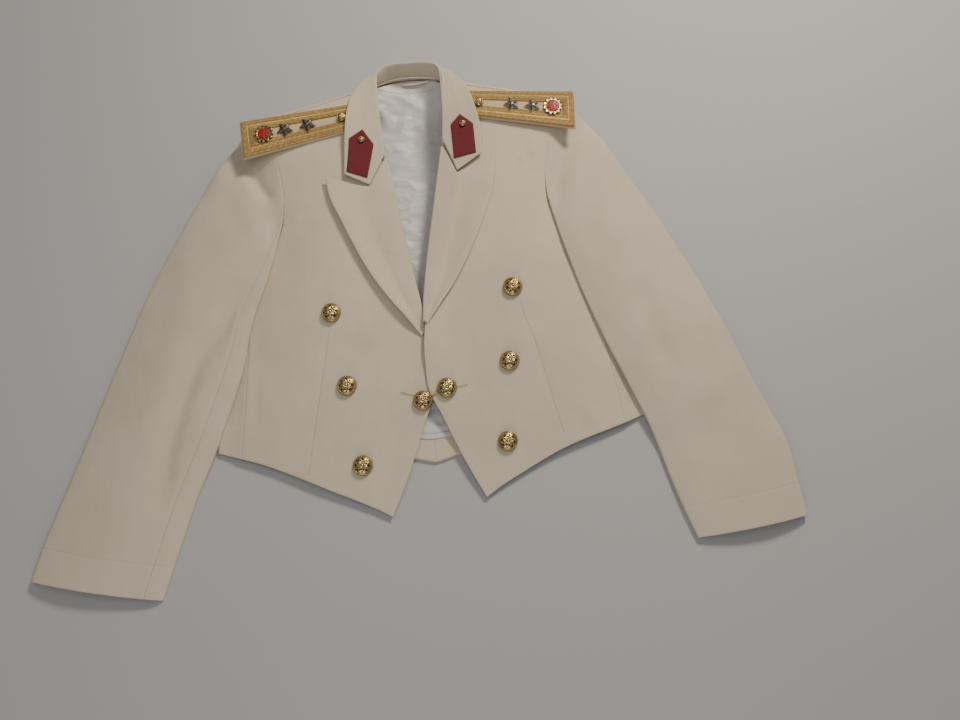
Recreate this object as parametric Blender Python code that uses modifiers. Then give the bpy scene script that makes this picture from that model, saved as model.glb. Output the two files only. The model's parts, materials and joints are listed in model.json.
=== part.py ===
"""A white mess jacket laid flat on its back, built from the pieces a tailor cuts and sews on.

All sizes are millimetres until a mesh is made. The pattern is drawn for one half of the jacket:
x runs outwards from the centre back, y runs up from the point of the back hem, and z is the
height above the surface that the jacket lies on. Left and right are the wearer's, so the left
half lies at +X. Each cloth piece is a grid of points on its right side, thickened inwards.
"""

import math
from collections import namedtuple

import bmesh
import bpy
import numpy as np
from mathutils import Matrix, Vector
from mathutils.bvhtree import BVHTree

MM = 0.001
LEFT = 1
RIGHT = -1
SIDES = {"left": LEFT, "right": RIGHT}

# Cloth and the spaces between its pieces
CLOTH = 1.8
LINING = 1.0
COLLAR_CLOTH = 2.2
SEAM_GAP = 0.3
ARMHOLE_GAP = 1.2
ROLL_GAP = 1.0
LAYER_GAP = 1.0
SLEEVE_GAP = 2.6
PATCH_GAP = 0.5
PIN_GAP = 0.4

# The left front was laid this much higher, and the right front this much lower
FRONT_SKEW = 6.5
NECK_SHIFT = 5.5

# Middle of the jacket's outline as laid, which becomes the origin
MIDDLE_X = -23.0
MIDDLE_Y = 213.5

# Brass buttons, as diameter and height
BUTTON_WIDTH = 25.0
BUTTON_HEIGHT = 8.5
STRAP_BUTTON_WIDTH = 13.0
STRAP_BUTTON_HEIGHT = 5.0
PATCH_BUTTON_WIDTH = 8.6
PATCH_BUTTON_HEIGHT = 3.6

# Height of the top of the body's layers: at the centre, over the chest at CHEST_X, at the side seam,
# and the place outside it where the surface below is reached
CHEST_X = 118.0
BodyRow = namedtuple("BodyRow", "y centre_z chest_z seam_x seam_z floor_x")
BODY_ROWS = (
    BodyRow(-60, 6.0, 6.0, 240, 6.0, 296),
    BodyRow(0, 9.5, 10.0, 240, 7.5, 300),
    BodyRow(37, 14.0, 15.0, 240, 9.0, 304),
    BodyRow(80, 20.0, 20.5, 237, 10.5, 304),
    BodyRow(150, 24.0, 28.0, 232, 12.5, 304),
    BodyRow(200, 27.0, 32.5, 229, 14.5, 304),
    BodyRow(255, 30.0, 36.0, 225, 18.0, 302),
    BodyRow(290, 32.0, 38.0, 200, 22.0, 270),
    BodyRow(325, 34.5, 40.0, 182, 27.5, 236),
    BodyRow(380, 39.0, 43.0, 178, 35.0, 226),
    BodyRow(430, 44.5, 46.0, 194, 42.0, 234),
    BodyRow(466, 48.0, 48.0, 208, 45.0, 244),
    BodyRow(510, 46.5, 46.0, 208, 44.0, 244),
)

# Front: free edge from the point up to the foot of the lapel, then roll line, then neck
FRONT_EDGE = ((58, -54), (46, -30), (38, -12), (30, 5), (15, 43), (2, 80), (0.8, 125), (3.4, 168))
ROLL_LINE = ((3.4, 168), (3.8, 197), (9.5, 235), (17, 280), (24.5, 322), (31, 362), (39, 408))
NECK_EDGE = ((39, 408), (49, 436), (55, 470), (66, 506))
FRONT_HEM = ((58, -54), (76, -43), (118, -22), (165, 0), (206, 16), (239, 27))
FRONT_SIDE = ((239, 27), (235, 65), (231, 112), (227, 166), (225, 220), (224, 262))
LOW_ARMHOLE = ((224, 262), (203, 273), (186, 300), (176, 327))
EDGE_STEPS = 8
ROLL_STEPS = 8
NECK_STEPS = 5
SIDE_STEPS = 10
LOW_ARMHOLE_STEPS = 3
FRONT_ACROSS = 10

# Armhole: a bow over the straight line from the back of the sleeve head to the fold of the sleeve
SLEEVE_HEAD = (215.0, 484.0)
SLEEVE_FOLD = (176.0, 327.0)
ARMHOLE_BOW = 15.0
HEAD_RADIUS = 20.0
FOLD_RADIUS = 3.5

# Sleeves, from the armhole to the cuff: outer and inner edge, bow of the row towards the shoulder,
# radius of the outer edge, and how far the middle stands above the edges
SleeveRow = namedtuple("SleeveRow", "outer_x outer_y inner_x inner_y bow outer_r loft")
LEFT_SLEEVE = (
    SleeveRow(215, 484, 176, 327, 15, 20, 0),
    SleeveRow(244, 448, 181, 300, 10, 16.5, 5),
    SleeveRow(279, 385, 192, 250, 5, 12, 8),
    SleeveRow(319, 308, 212, 178, 1, 8.5, 11),
    SleeveRow(358, 219, 231, 122, 0, 6.5, 12),
    SleeveRow(390, 131, 254, 60, 0, 5.5, 12),
    SleeveRow(414, 50, 272, 8, 0, 5, 11),
    SleeveRow(434, -2, 282, -34, 0, 5, 10),
    SleeveRow(438, -40, 290, -68, 0, 5, 9.5),
    SleeveRow(443, -106, 306, -120, -2, 5, 8),
)
RIGHT_SLEEVE = (
    SleeveRow(215, 484, 176, 327, 15, 20, 0),
    SleeveRow(246, 452, 183, 300, 10, 16.5, 5),
    SleeveRow(282, 396, 197, 253, 5, 12, 8),
    SleeveRow(318, 334, 218, 200, 1, 8.5, 11),
    SleeveRow(357, 256, 232, 140, 0, 6.5, 12),
    SleeveRow(389, 176, 250, 90, 0, 5.5, 12),
    SleeveRow(420, 96, 270, 38, 0, 5, 11),
    SleeveRow(448, 20, 294, -14, 0, 5, 10),
    SleeveRow(474, -46, 314, -72, 0, 5, 9.5),
    SleeveRow(489, -94, 334, -131, -2, 5, 8),
)
SLEEVES = {"left": LEFT_SLEEVE, "right": RIGHT_SLEEVE}
# How far the hind seam lies inside the inner edge, on top
HIND_SEAM = {"left": 0.0, "right": 23.0}
SLEEVE_ALONG = 14
SLEEVE_TOP_STEPS = 7
SLEEVE_LOW_STEPS = 6
# The lower layer of the sleeve climbs onto the body between these two levels
CLIMB_FROM_Y = 356.0
CLIMB_TO_Y = 331.0

# Back, from the hem up and over the rounded shoulder to its seam: the centre, and the line below
# the neck point. The side comes from the side seam and then from the armhole.
BackRow = namedtuple("BackRow", "centre_y centre_z neck_x neck_y neck_z")
BACK_ROWS = (
    BackRow(0, 0, 90, 24, 0),
    BackRow(60, 0, 90, 76, 0),
    BackRow(120, 0, 90, 128, 0),
    BackRow(180, 0, 90, 184, 0),
    BackRow(240, 0, 90, 242, 0),
    BackRow(290, 0, 88, 288, 0),
    BackRow(335, 0, 84, 330, 0),
    BackRow(365, 0, 80, 358, 0),
    BackRow(395, 0, 76, 386, 0),
    BackRow(425, 0, 72, 413, 0),
    BackRow(455, 0, 69, 440, 0),
    BackRow(487, 0, 66, 467, 0),
    BackRow(515, 0, 65, 491, 0),
    BackRow(534, 1.5, 66, 507, 4),
    BackRow(542, 5.0, 68, 515, 16),
    BackRow(545, 9.0, 69, 515, 32),
    BackRow(545.5, 11.5, 68, 512.5, 42),
    BackRow(545, 13, 66, 506, 45),
)
BACK_SIDE = ((235, 36), (234.2, 88), (233, 141), (232, 193), (231, 246), (203, 282))
NECK_COLUMNS = 4
SIDE_COLUMNS = 5

# Side body: the panel under the arm, folded round the side of the jacket
SIDE_FOLD_X = 269.0
SIDE_FOLD_Y = (36.5, 252.0)

# Lapel, from its foot to its peak. The two sides lie slightly unalike above the chest.
LAPEL_FOOT = ((6, 165), (14, 178), (27, 197), (46, 222), (66, 256), (83, 292))
LAPEL_EDGE = {"left": ((96, 325), (103.5, 355)), "right": ((97.5, 324), (110, 352))}
LAPEL_TOP = {
    "left": ((39, 408), (55.5, 365.9), (107.7, 390.5)),
    "right": ((39, 408), (60, 369.3), (117, 383.3)),
}
LAPEL_ACROSS = 6
LAPEL_LIFT = {"left": 3.5, "right": 6.5}
ROLL_RADIUS = 1.5

# Collar, from the centre back to its end: the fold along its top and its free edge. Its foot
# follows the neck of the back and of the front.
CollarRow = namedtuple("CollarRow", "fold_x fold_y fold_z edge_x edge_y edge_z")
COLLAR_ROWS = (
    CollarRow(0, 549, 41, 0, 558, 5),
    CollarRow(17, 549, 41, 18, 558, 6),
    CollarRow(33, 545, 43, 35, 554, 12),
    CollarRow(41, 536, 46, 49, 543, 28),
    CollarRow(43, 519, 50, 64, 523, 45),
    CollarRow(43, 498, 53.5, 76, 502, 54),
    CollarRow(43, 476, 56.5, 82, 479, 59.5),
    CollarRow(42, 452, 55.5, 87, 455, 59.5),
    CollarRow(40.5, 430, 53, 90.5, 427, 55),
    CollarRow(39, 412, 50.3, 91.5, 390, 50.5),
)
# Outer corner of each end of the collar, and the point of the end that meets the lapel's notch
COLLAR_END = {"left": ((90, 390.4), (55.5, 368.8)), "right": ((92, 388), (60, 372.2))}
COLLAR_BACK_STEPS = 4
COLLAR_FALL = (0.14, 0.31, 0.48, 0.74, 1.0)
COLLAR_END_DROP = 2.3
# How the back's hem runs down to its point: 1 is straight, 2 a parabola
HEM_BOW = 1.15

# Shoulder strap: a stiff board from under the collar to the sleeve head
STRAP_INNER = (78.0, 464.0)
STRAP_OUTER = (223.0, 450.5)
STRAP_SKEW = {"left": (6.9, -2.5), "right": (0.9, -6.7)}
STRAP_DROP = 1.0
STRAP_INNER_WIDTH = 40.0
STRAP_OUTER_WIDTH = 57.0
STRAP_TOP_Z = 53.0
STRAP_THICK = 3.2
STRAP_CROWN = 2.0
STRAP_ALONG = 10
STRAP_ACROSS = 3
LACE_THICK = 0.9
LACE_MARGIN = 1.6
LACE_WIDTH_OUTER = 18.5
LACE_WIDTH_INNER = 14.0
LACE_END = 17.0
# Places along the strap, as shares of its length
ROSETTE_AT = 0.79
STARS_AT = (0.605, 0.405)
STRAP_BUTTON_AT = 0.095
STAR_WIDTH = 23.5
STAR_WAIST = 0.5
STAR_HEIGHT = 2.6
ROSETTE_WIDTH = 25.0
ROSETTE_LOBES = 12
ENAMEL_WIDTH = 16.5

# Gorget patch on each end of the collar: corners round its outline from the point
PATCH_CORNERS = {
    "left": ((64.7, 449.7), (51.1, 433.3), (52.3, 384.6), (82, 389.8), (81, 431.7)),
    "right": ((65.5, 444.4), (52.1, 426), (62.5, 380.6), (89, 390.5), (84.1, 434.7)),
}
PATCH_THICK = 1.3
PATCH_BUTTON = (67.5, 432)

# Buttons on the fronts, and the pair that links the fronts at the waist
FRONT_BUTTONS = ((116, 204), (102.5, 110), (90, 11))
LINK_BUTTON = (15.5, 83)
LINK_SHIFT = 5.5
LINK_WIDTH = 2.4
LINK_RISE = 2.8

# Lining of the back, which shows at the neck and below the link
LINING_HALF_WIDTH = 150.0
LINING_ACROSS = 12
LINING_ALONG = 16
LINING_LAP = 4.0
LINING_STEP = 2.1
LINING_TOP_Y = 541.0
LINING_TOP_HALF = 48.0
LINING_LOW_Z = 3.6
LINING_TOP_Z = 11.5
WrinkleRow = namedtuple("WrinkleRow", "x y length width turn height")
WRINKLES = (
    WrinkleRow(-14, 470, 90, 16, 70, 3.0),
    WrinkleRow(22, 430, 120, 14, 100, 2.6),
    WrinkleRow(0, 360, 80, 12, 60, 2.2),
    WrinkleRow(14, 290, 110, 12, 84, 2.4),
    WrinkleRow(-60, 250, 120, 22, 95, 3.0),
)
HEM_TURN_TOP_Y = 34.0
HEM_TURN_HALF = 150.0


def ease(share):
    """A share from 0 to 1 that starts and ends gently."""
    share = np.clip(share, 0.0, 1.0)
    return share * share * (3 - 2 * share)


def smooth_values(knots, values, at):
    """Values at the places at, on a smooth curve through values at knots; rows of values may be points."""
    knots = np.asarray(knots, float)
    values = np.asarray(values, float)
    at = np.clip(np.asarray(at, float), knots[0], knots[-1])
    steps = np.diff(knots)
    slopes = np.diff(values, axis=0) / steps.reshape((-1,) + (1,) * (values.ndim - 1))
    inner = (values[2:] - values[:-2]) / (knots[2:] - knots[:-2]).reshape((-1,) + (1,) * (values.ndim - 1))
    tangents = np.concatenate([slopes[:1], inner, slopes[-1:]])
    cell = np.clip(np.searchsorted(knots, at, side="right") - 1, 0, len(knots) - 2)
    width = steps[cell]
    share = (at - knots[cell]) / width
    if values.ndim > 1:
        width = width[..., None]
        share = share[..., None]
    start, end = values[cell], values[cell + 1]
    leave, arrive = tangents[cell] * width, tangents[cell + 1] * width
    return (
        start * (1 + 2 * share) * (1 - share) ** 2
        + leave * share * (1 - share) ** 2
        + end * share**2 * (3 - 2 * share)
        + arrive * share**2 * (share - 1)
    )


def along_curve(points, shares, straight=False):
    """Points at shares of the length of a curve, smooth or straight, through the given points."""
    points = np.asarray(points, float)
    knots = np.concatenate([[0.0], np.cumsum(np.linalg.norm(np.diff(points, axis=0), axis=1))])
    at = np.asarray(shares, float) * knots[-1]
    if straight:
        return np.stack([np.interp(at, knots, column) for column in points.T], axis=-1)
    return smooth_values(knots, points, at)


def even(steps):
    """Shares from 0 to 1 in equal steps."""
    return np.linspace(0.0, 1.0, steps + 1)


def lie(x, y, side):
    """Where a point of the pattern's half lies, with the two fronts slightly out of line."""
    near_armhole = ease((y - 180) / 90)
    reach = (x - 130 + 45 * near_armhole) / (110 - 23 * near_armhole)
    skew = FRONT_SKEW * (1 - ease(reach)) * (1 - ease((y - 420) / 45))
    return side * x, y + side * skew


def settled(grid):
    """A finished grid, with the neck moved a little to the wearer's left, as the jacket was laid."""
    grid = np.array(grid, float)
    out = 1 - 0.6 * ease((np.abs(grid[..., 0]) - 80) / 130)
    grid[..., 0] += NECK_SHIFT * ease((grid[..., 1] - 250) / 190) * out
    return grid


def body_height(x, y):
    """Height of the top of the body's cloth at pattern points."""
    x = np.asarray(x, float)
    y = np.asarray(y, float)
    levels = [row.y for row in BODY_ROWS]
    column = {
        name: smooth_values(levels, [getattr(row, name) for row in BODY_ROWS], y)
        for name in BodyRow._fields[1:]
    }
    chest_x = np.minimum(CHEST_X, column["seam_x"] - 50)
    seam_slope = (column["seam_z"] - column["chest_z"]) / (column["seam_x"] - chest_x)
    inner = ease(x / chest_x)
    over_chest = column["centre_z"] + (column["chest_z"] - column["centre_z"]) * inner
    out = np.clip((x - chest_x) / (column["seam_x"] - chest_x), 0, 1)
    beyond = np.clip((x - column["seam_x"]) / (column["floor_x"] - column["seam_x"]), 0, 1)
    to_seam = column["chest_z"] + seam_slope * (column["seam_x"] - chest_x) * out ** 1.6
    past = column["seam_z"] * (1 - beyond) ** 1.15
    return np.where(x < chest_x, over_chest, np.where(x < column["seam_x"], to_seam, past))


def patch_between(bottom, top, inner, outer):
    """Grid of points between four edges that share their corners. Rows run from inner to outer."""
    u = even(len(bottom) - 1)[None, :, None]
    v = even(len(inner) - 1)[:, None, None]
    corners = (
        (1 - u) * (1 - v) * bottom[0] + u * (1 - v) * bottom[-1]
        + (1 - u) * v * top[0] + u * v * top[-1]
    )
    across = (1 - v) * bottom[None] + v * top[None]
    up = (1 - u) * inner[:, None] + u * outer[:, None]
    return across + up - corners


# Objects, materials and the shared ways of making them


def new_material(name, colour, roughness, metallic=0.0):
    """A plain finish, or the one made before under that name."""
    if name in bpy.data.materials:
        return bpy.data.materials[name]
    material = bpy.data.materials.new(name)
    material.use_nodes = True
    shader = material.node_tree.nodes["Principled BSDF"]
    shader.inputs["Base Color"].default_value = (*colour, 1.0)
    shader.inputs["Roughness"].default_value = roughness
    shader.inputs["Metallic"].default_value = metallic
    return material


def cloth_white():
    return new_material("ivory_cloth", (0.72, 0.66, 0.56), 0.9)


def lining_white():
    return new_material("white_lining", (0.78, 0.78, 0.8), 0.45)


def brass():
    return new_material("gilt_brass", (0.78, 0.57, 0.22), 0.25, 1.0)


def gold_lace():
    return new_material("gold_lace", (0.62, 0.42, 0.14), 0.55, 0.4)


def dark_bronze():
    return new_material("dark_bronze", (0.2, 0.17, 0.15), 0.35, 0.9)


def red_enamel():
    return new_material("red_enamel", (0.55, 0.03, 0.03), 0.2)


def crimson_felt():
    return new_material("crimson_felt", (0.22, 0.02, 0.035), 0.9)


def place(obj, material, frame):
    """Gives an object its finish, its collection and the jacket's frame as parent."""
    frame.users_collection[0].objects.link(obj)
    obj.data.materials.append(material)
    obj.parent = frame
    return obj


def sheet(name, grid, thickness, material, frame, flip=False):
    """A cloth wall: an open surface of points on the right side, thickened to the inside.

    The right side faces up where columns run to +X and rows to +Y. It faces down with flip.
    """
    if flip:
        grid = grid[:, ::-1]
    rows, columns = grid.shape[:2]
    corner = np.arange(rows * columns).reshape(rows, columns)
    faces = np.stack([corner[:-1, :-1], corner[:-1, 1:], corner[1:, 1:], corner[1:, :-1]], axis=-1)
    mesh = bpy.data.meshes.new(name)
    mesh.from_pydata((grid.reshape(-1, 3) * MM).tolist(), [], faces.reshape(-1, 4).tolist())
    mesh.shade_smooth()
    obj = place(bpy.data.objects.new(name, mesh), material, frame)
    wall = obj.modifiers.new("wall", "SOLIDIFY")
    wall.thickness = thickness * MM
    wall.offset = -1.0
    wall.use_quality_normals = True
    return obj


def ground(grids):
    """A tree of the surfaces that something can be set down on."""
    points = []
    faces = []
    for grid in grids:
        rows, columns = grid.shape[:2]
        corner = np.arange(rows * columns).reshape(rows, columns) + len(points)
        points.extend(Vector(p) for p in grid.reshape(-1, 3))
        faces.extend(
            np.stack([corner[:-1, :-1], corner[:-1, 1:], corner[1:, 1:], corner[1:, :-1]], axis=-1)
            .reshape(-1, 4)
            .tolist()
        )
    return BVHTree.FromPolygons(points, faces)


def set_down(tree, x, y):
    """The point of the surface straight below a place, and the surface's upward normal there."""
    place_found, normal, _, _ = tree.ray_cast(Vector((x, y, 500.0)), Vector((0, 0, -1)))
    if place_found is None:
        place_found, normal, _, _ = tree.find_nearest(Vector((x, y, 50.0)))
    return place_found, normal if normal.z > 0 else -normal


# Cloth of the body


def armhole_point(share):
    """Plan of the armhole seam, from the back of the sleeve head to the fold of the sleeve."""
    share = np.asarray(share, float)[..., None]
    head, fold = np.array(SLEEVE_HEAD), np.array(SLEEVE_FOLD)
    run = fold - head
    bow = np.array([run[1], -run[0]]) / np.linalg.norm(run)
    return head + run * share + bow * ARMHOLE_BOW * 4 * share * (1 - share)


def armhole_length():
    return math.dist(SLEEVE_HEAD, SLEEVE_FOLD)


def top_shares(width, outer_r):
    """Places across the top of a sleeve, from the end of its outer curve to its inner fold."""
    start = outer_r / width
    end = 1 - FOLD_RADIUS / width
    return start + (end - start) * even(SLEEVE_TOP_STEPS)


def low_shares(width, outer_r):
    """Places across the lower layer of a sleeve, from its inner fold to its outer curve."""
    start = 1 - FOLD_RADIUS / width
    end = outer_r / width
    return start + (end - start) * even(SLEEVE_LOW_STEPS)


def front_edges():
    """The four edges of a front in the pattern, with the armhole at the sleeve's own places."""
    free = along_curve(FRONT_EDGE, even(EDGE_STEPS))
    roll = along_curve(ROLL_LINE, even(ROLL_STEPS))
    neck = along_curve(NECK_EDGE, even(NECK_STEPS))
    inner = np.concatenate([free, roll[1:], neck[1:]])
    seam = along_curve(FRONT_SIDE, even(SIDE_STEPS))
    low = along_curve(LOW_ARMHOLE, even(LOW_ARMHOLE_STEPS))
    armhole = armhole_point(top_shares(armhole_length(), HEAD_RADIUS)[::-1])
    outer = np.concatenate([seam, low[1:], armhole])
    hem = along_curve(FRONT_HEM, even(FRONT_ACROSS))
    shoulder = along_curve([inner[-1], outer[-1]], even(FRONT_ACROSS), straight=True)
    return hem, shoulder, inner, outer


def lap_share(y):
    """Where the fronts lap at the waist: 1 between the link and the foot of the lapels."""
    return ease((y - 62) / 25) * (1 - ease((y - 120) / 42))


def front_point(x, y, side):
    """Right side of a front at pattern points. The left front lies over the right at the waist."""
    x = np.asarray(x, float)
    y = np.asarray(y, float)
    over = (1 - ease(x / 45)) * ease((y - 35) / 40) * (1 - ease((y - 200) / 120))
    height = body_height(x, y) + over * (2.6 if side == LEFT else -1.0)
    lap = (1 - ease(x / 30)) * lap_share(y) * (-2.5 if side == LEFT else 2.5)
    out_x, out_y = lie(x, y, side)
    return np.stack([out_x + lap, out_y, height], axis=-1)


def front_grid(side):
    """Right side of a front, in the pattern's order of columns."""
    flat = patch_between(*front_edges())
    return front_point(flat[..., 0], flat[..., 1], side)


def back_grid(side):
    """Right side of half the back: flat below, and turned over the shoulder to its seam."""
    low = armhole_point(low_shares(armhole_length(), HEAD_RADIUS))
    low_side = [(x, y, 0.0) for x, y in low]
    low_side[0] = (low_side[0][0] - 3, low_side[0][1] - 4, 0.0)
    head = SleeveRow(*SLEEVES["left"][0])
    turned = [head_point(head, angle) for angle in (45, 90, 130, 160, 180)]
    sides = np.array([(x, y, 0.0) for x, y in BACK_SIDE] + low_side + turned)
    sides[6:, 0] -= SEAM_GAP
    rows = []
    for number, (row, edge) in enumerate(zip(BACK_ROWS, sides)):
        centre = np.array([SEAM_GAP, row.centre_y, row.centre_z])
        neck = np.array([row.neck_x, row.neck_y, row.neck_z])
        bow = 2.0 if number else HEM_BOW
        inner = even(NECK_COLUMNS)[:, None] ** np.array([1.0, bow, 2.0])
        outer = even(SIDE_COLUMNS)[1:, None]
        rows.append(np.concatenate([centre + (neck - centre) * inner, neck + (edge - neck) * outer]))
    grid = np.array(rows)
    seam = grid[-1, NECK_COLUMNS:]
    seam[:, 2] = body_height(seam[:, 0], seam[:, 1])
    seam[:, 1] += 4 * SEAM_GAP
    grid[-1, NECK_COLUMNS:] = seam
    grid[..., 0] *= side
    return grid


def side_body_grid(side):
    """Right side of the panel under the arm: over, round the side of the jacket, and under."""
    levels = even(SIDE_STEPS)
    front_seam = along_curve(FRONT_SIDE, levels)
    back_seam = along_curve(BACK_SIDE[:5], levels)
    rows = []
    for share, front, back in zip(levels, front_seam, back_seam):
        fold_y = SIDE_FOLD_Y[0] + (SIDE_FOLD_Y[1] - SIDE_FOLD_Y[0]) * share
        top_z = float(body_height(SIDE_FOLD_X - 6, fold_y))
        radius = top_z / 2
        start, end = front[0] + SEAM_GAP, SIDE_FOLD_X - radius
        row = []
        for step in even(3):
            x = start + (end - start) * step
            y = front[1] + (fold_y - front[1]) * step
            row.append((x, y, float(body_height(x, y)) * (1 - step) + top_z * step))
        for angle in (60, 90, 120, 180):
            turn = math.radians(angle)
            row.append((end + radius * math.sin(turn), fold_y, radius + radius * math.cos(turn)))
        for step in (0.5, 1.0):
            row.append((end + (back[0] + SEAM_GAP - end) * step, fold_y + (back[1] - fold_y) * step, 0.0))
        rows.append(row)
    grid = np.array(rows)
    x, y = lie(grid[..., 0], grid[..., 1], side)
    above = ease(grid[..., 2] / 6)
    grid[..., 1] += (y - grid[..., 1]) * above
    grid[..., 0] = x
    return grid


# Sleeves


def sleeve_rows(which):
    """The sleeve's sections down its length, closer together near the armhole."""
    table = np.array(SLEEVES[which], float)
    middles = (table[:, 0:2] + table[:, 2:4]) / 2
    knots = np.concatenate([[0.0], np.cumsum(np.linalg.norm(np.diff(middles, axis=0), axis=1))])
    shares = even(SLEEVE_ALONG) ** 1.1
    return shares, [SleeveRow(*values) for values in smooth_values(knots, table, shares * knots[-1])]


def sleeve_lift(x, y):
    """Height of the lower layer of a sleeve: on the floor, or over the side of the body."""
    climbs = ease((CLIMB_FROM_Y - y) / (CLIMB_FROM_Y - CLIMB_TO_Y))
    support = body_height(x, y)
    return (support + SLEEVE_GAP * ease(support / 4)) * climbs * ease((y + 10) / 50)


def across_sleeve(row, inward):
    """Plan of a point of the section, a distance inwards from the outer edge."""
    outer = np.array([row.outer_x, row.outer_y])
    run = np.array([row.inner_x, row.inner_y]) - outer
    width = np.linalg.norm(run)
    share = inward / width
    bow = np.array([run[1], -run[0]]) / width
    return outer + run * share + bow * row.bow * 4 * share * (1 - share)


def section_width(row):
    return math.dist((row.outer_x, row.outer_y), (row.inner_x, row.inner_y))


def sleeve_top_height(row, share, inward):
    """Height of the upper layer, which starts on the front's own edge at the armhole."""
    width = section_width(row)
    start = row.outer_r * 2 + float(sleeve_lift(*across_sleeve(row, 0.0)))
    end = FOLD_RADIUS * 2 + float(sleeve_lift(*across_sleeve(row, width - FOLD_RADIUS)))
    span = np.clip((inward - row.outer_r) / (width - row.outer_r - FOLD_RADIUS), 0, 1)
    ring = start + (end - start) * span + row.loft * math.sin(math.pi * span) ** 0.8
    x, y = across_sleeve(row, inward)
    seam = float(body_height(x, y)) + 2 * FOLD_RADIUS * float(ease((span - 0.72) / 0.28))
    at_seam = 1 - float(ease(share / 0.09))
    return seam * at_seam + ring * (1 - at_seam)


def outer_curve(row, share, angle):
    """A point of the section's outer curve: the angle is 0 below, 90 outside and 180 above."""
    turn = math.radians(angle)
    x, y = across_sleeve(row, row.outer_r * (1 - math.sin(turn)))
    low = float(sleeve_lift(*across_sleeve(row, row.outer_r)))
    top = sleeve_top_height(row, share, row.outer_r)
    return x, y, low + (top - low) * (1 - math.cos(turn)) / 2


def inner_curve(row, share, angle):
    """A point of the section's inner fold, with angles as on the outer curve."""
    turn = math.radians(angle)
    width = section_width(row)
    x, y = across_sleeve(row, width - FOLD_RADIUS * (1 - math.sin(turn)))
    low = float(sleeve_lift(*across_sleeve(row, width - FOLD_RADIUS)))
    top = sleeve_top_height(row, share, width - FOLD_RADIUS)
    return x, y, low + (top - low) * (1 - math.cos(turn)) / 2


def head_point(row, angle):
    """A point where the back meets the sleeve head. The angle 180 is the end of the shoulder."""
    return outer_curve(row, 0.0, angle)


def top_section(row, share):
    """The upper half of a section, from its outermost to its innermost point."""
    width = section_width(row)
    points = [outer_curve(row, share, angle) for angle in (94, 101, 135)]
    for inward in top_shares(width, row.outer_r) * width:
        x, y = across_sleeve(row, inward)
        points.append((x, y, sleeve_top_height(row, share, inward)))
    return np.array(points + [inner_curve(row, share, angle) for angle in (135, 116, 106)])


def low_section(row, share):
    """The lower half of a section, from its innermost to its outermost point."""
    width = section_width(row)
    points = [inner_curve(row, share, angle) for angle in (74, 64, 45)]
    for inward in low_shares(width, row.outer_r) * width:
        x, y = across_sleeve(row, inward)
        points.append((x, y, float(sleeve_lift(x, y))))
    return np.array(points + [outer_curve(row, share, angle) for angle in (45, 78, 86)])


def cut_section(points, at):
    """Points at lengths along a section's line."""
    knots = np.concatenate([[0.0], np.cumsum(np.linalg.norm(np.diff(points, axis=0), axis=1))])
    return np.stack([np.interp(at, knots, column) for column in points.T], axis=-1), knots


def sleeve_grids(which):
    """Upper and under sleeve. They meet at the outer edge and at the hind seam, on top if it shows."""
    shares, rows = sleeve_rows(which)
    upper, under = [], []
    for share, row in zip(shares, rows):
        top, low = top_section(row, share), low_section(row, share)
        _, knots = cut_section(top, [0.0])
        if HIND_SEAM[which]:
            hind = 11.0 + (HIND_SEAM[which] - 11.0) * float(ease(share / 0.35))
            end = knots[-1] - hind
            last = min(knots[10], end - 1.0 - 0.15 * hind)
            at = np.concatenate([knots[:11] * last / knots[10], [end]])
            strip = np.array([end + SEAM_GAP, (end + knots[-1]) / 2])
            low = np.concatenate([cut_section(top, strip)[0], low[1:]])
            top, _ = cut_section(top, at)
        upper.append(top)
        under.append(low)
    grids = []
    for grid in (np.array(upper), np.array(under)):
        grid[0, :, 0] += ARMHOLE_GAP
        grid[..., 0] *= SIDES[which]
        grids.append(grid)
    return grids


# Lapels and collar


def lapel_grid(side):
    """Right side of a lapel, rolled over from the front's edge and laid on the chest."""
    word = "left" if side == LEFT else "right"
    roll = along_curve(ROLL_LINE, even(ROLL_STEPS))
    edge = along_curve(LAPEL_FOOT + LAPEL_EDGE[word] + LAPEL_TOP[word][2:], even(ROLL_STEPS))
    gorge = along_curve(LAPEL_TOP[word][:2], even(2), straight=True)
    peak = along_curve(LAPEL_TOP[word][1:], even(LAPEL_ACROSS - 2), straight=True)
    top = np.concatenate([gorge, peak[1:]])
    bottom = along_curve([roll[0], edge[0]], even(LAPEL_ACROSS), straight=True)
    edge[-1] = top[-1]
    flat = patch_between(bottom, top, roll, edge)
    on_front = front_point(flat[..., 0], flat[..., 1], side)
    out = even(LAPEL_ACROSS)[None, :]
    up = even(ROLL_STEPS)[:, None]
    width = np.linalg.norm(flat[:, -1] - flat[:, 0], axis=-1)[:, None]
    lift = LAPEL_LIFT[word] * ease((out - 0.45) / 0.55)
    lift = lift * ease(width / 50) * (1 - 0.35 * up)
    rise = LAYER_GAP + CLOTH + lift + 1.2 * np.sin(math.pi * np.clip(out / 0.5, 0, 1)) * ease(width / 60)
    on_front[..., 2] += rise
    fold = front_point(roll[:, 0], roll[:, 1], side)
    radius = (LAYER_GAP + 2 * CLOTH) / 2
    curl = []
    for angle in (-90, -135, 180, 135):
        turn = math.radians(angle)
        point = fold + (0, 0, radius - CLOTH)
        point[:, 0] += side * (radius * math.cos(turn) - ROLL_GAP)
        point[:, 2] += radius * math.sin(turn)
        curl.append(point)
    return np.concatenate([np.stack(curl, axis=1), on_front], axis=1)


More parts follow.
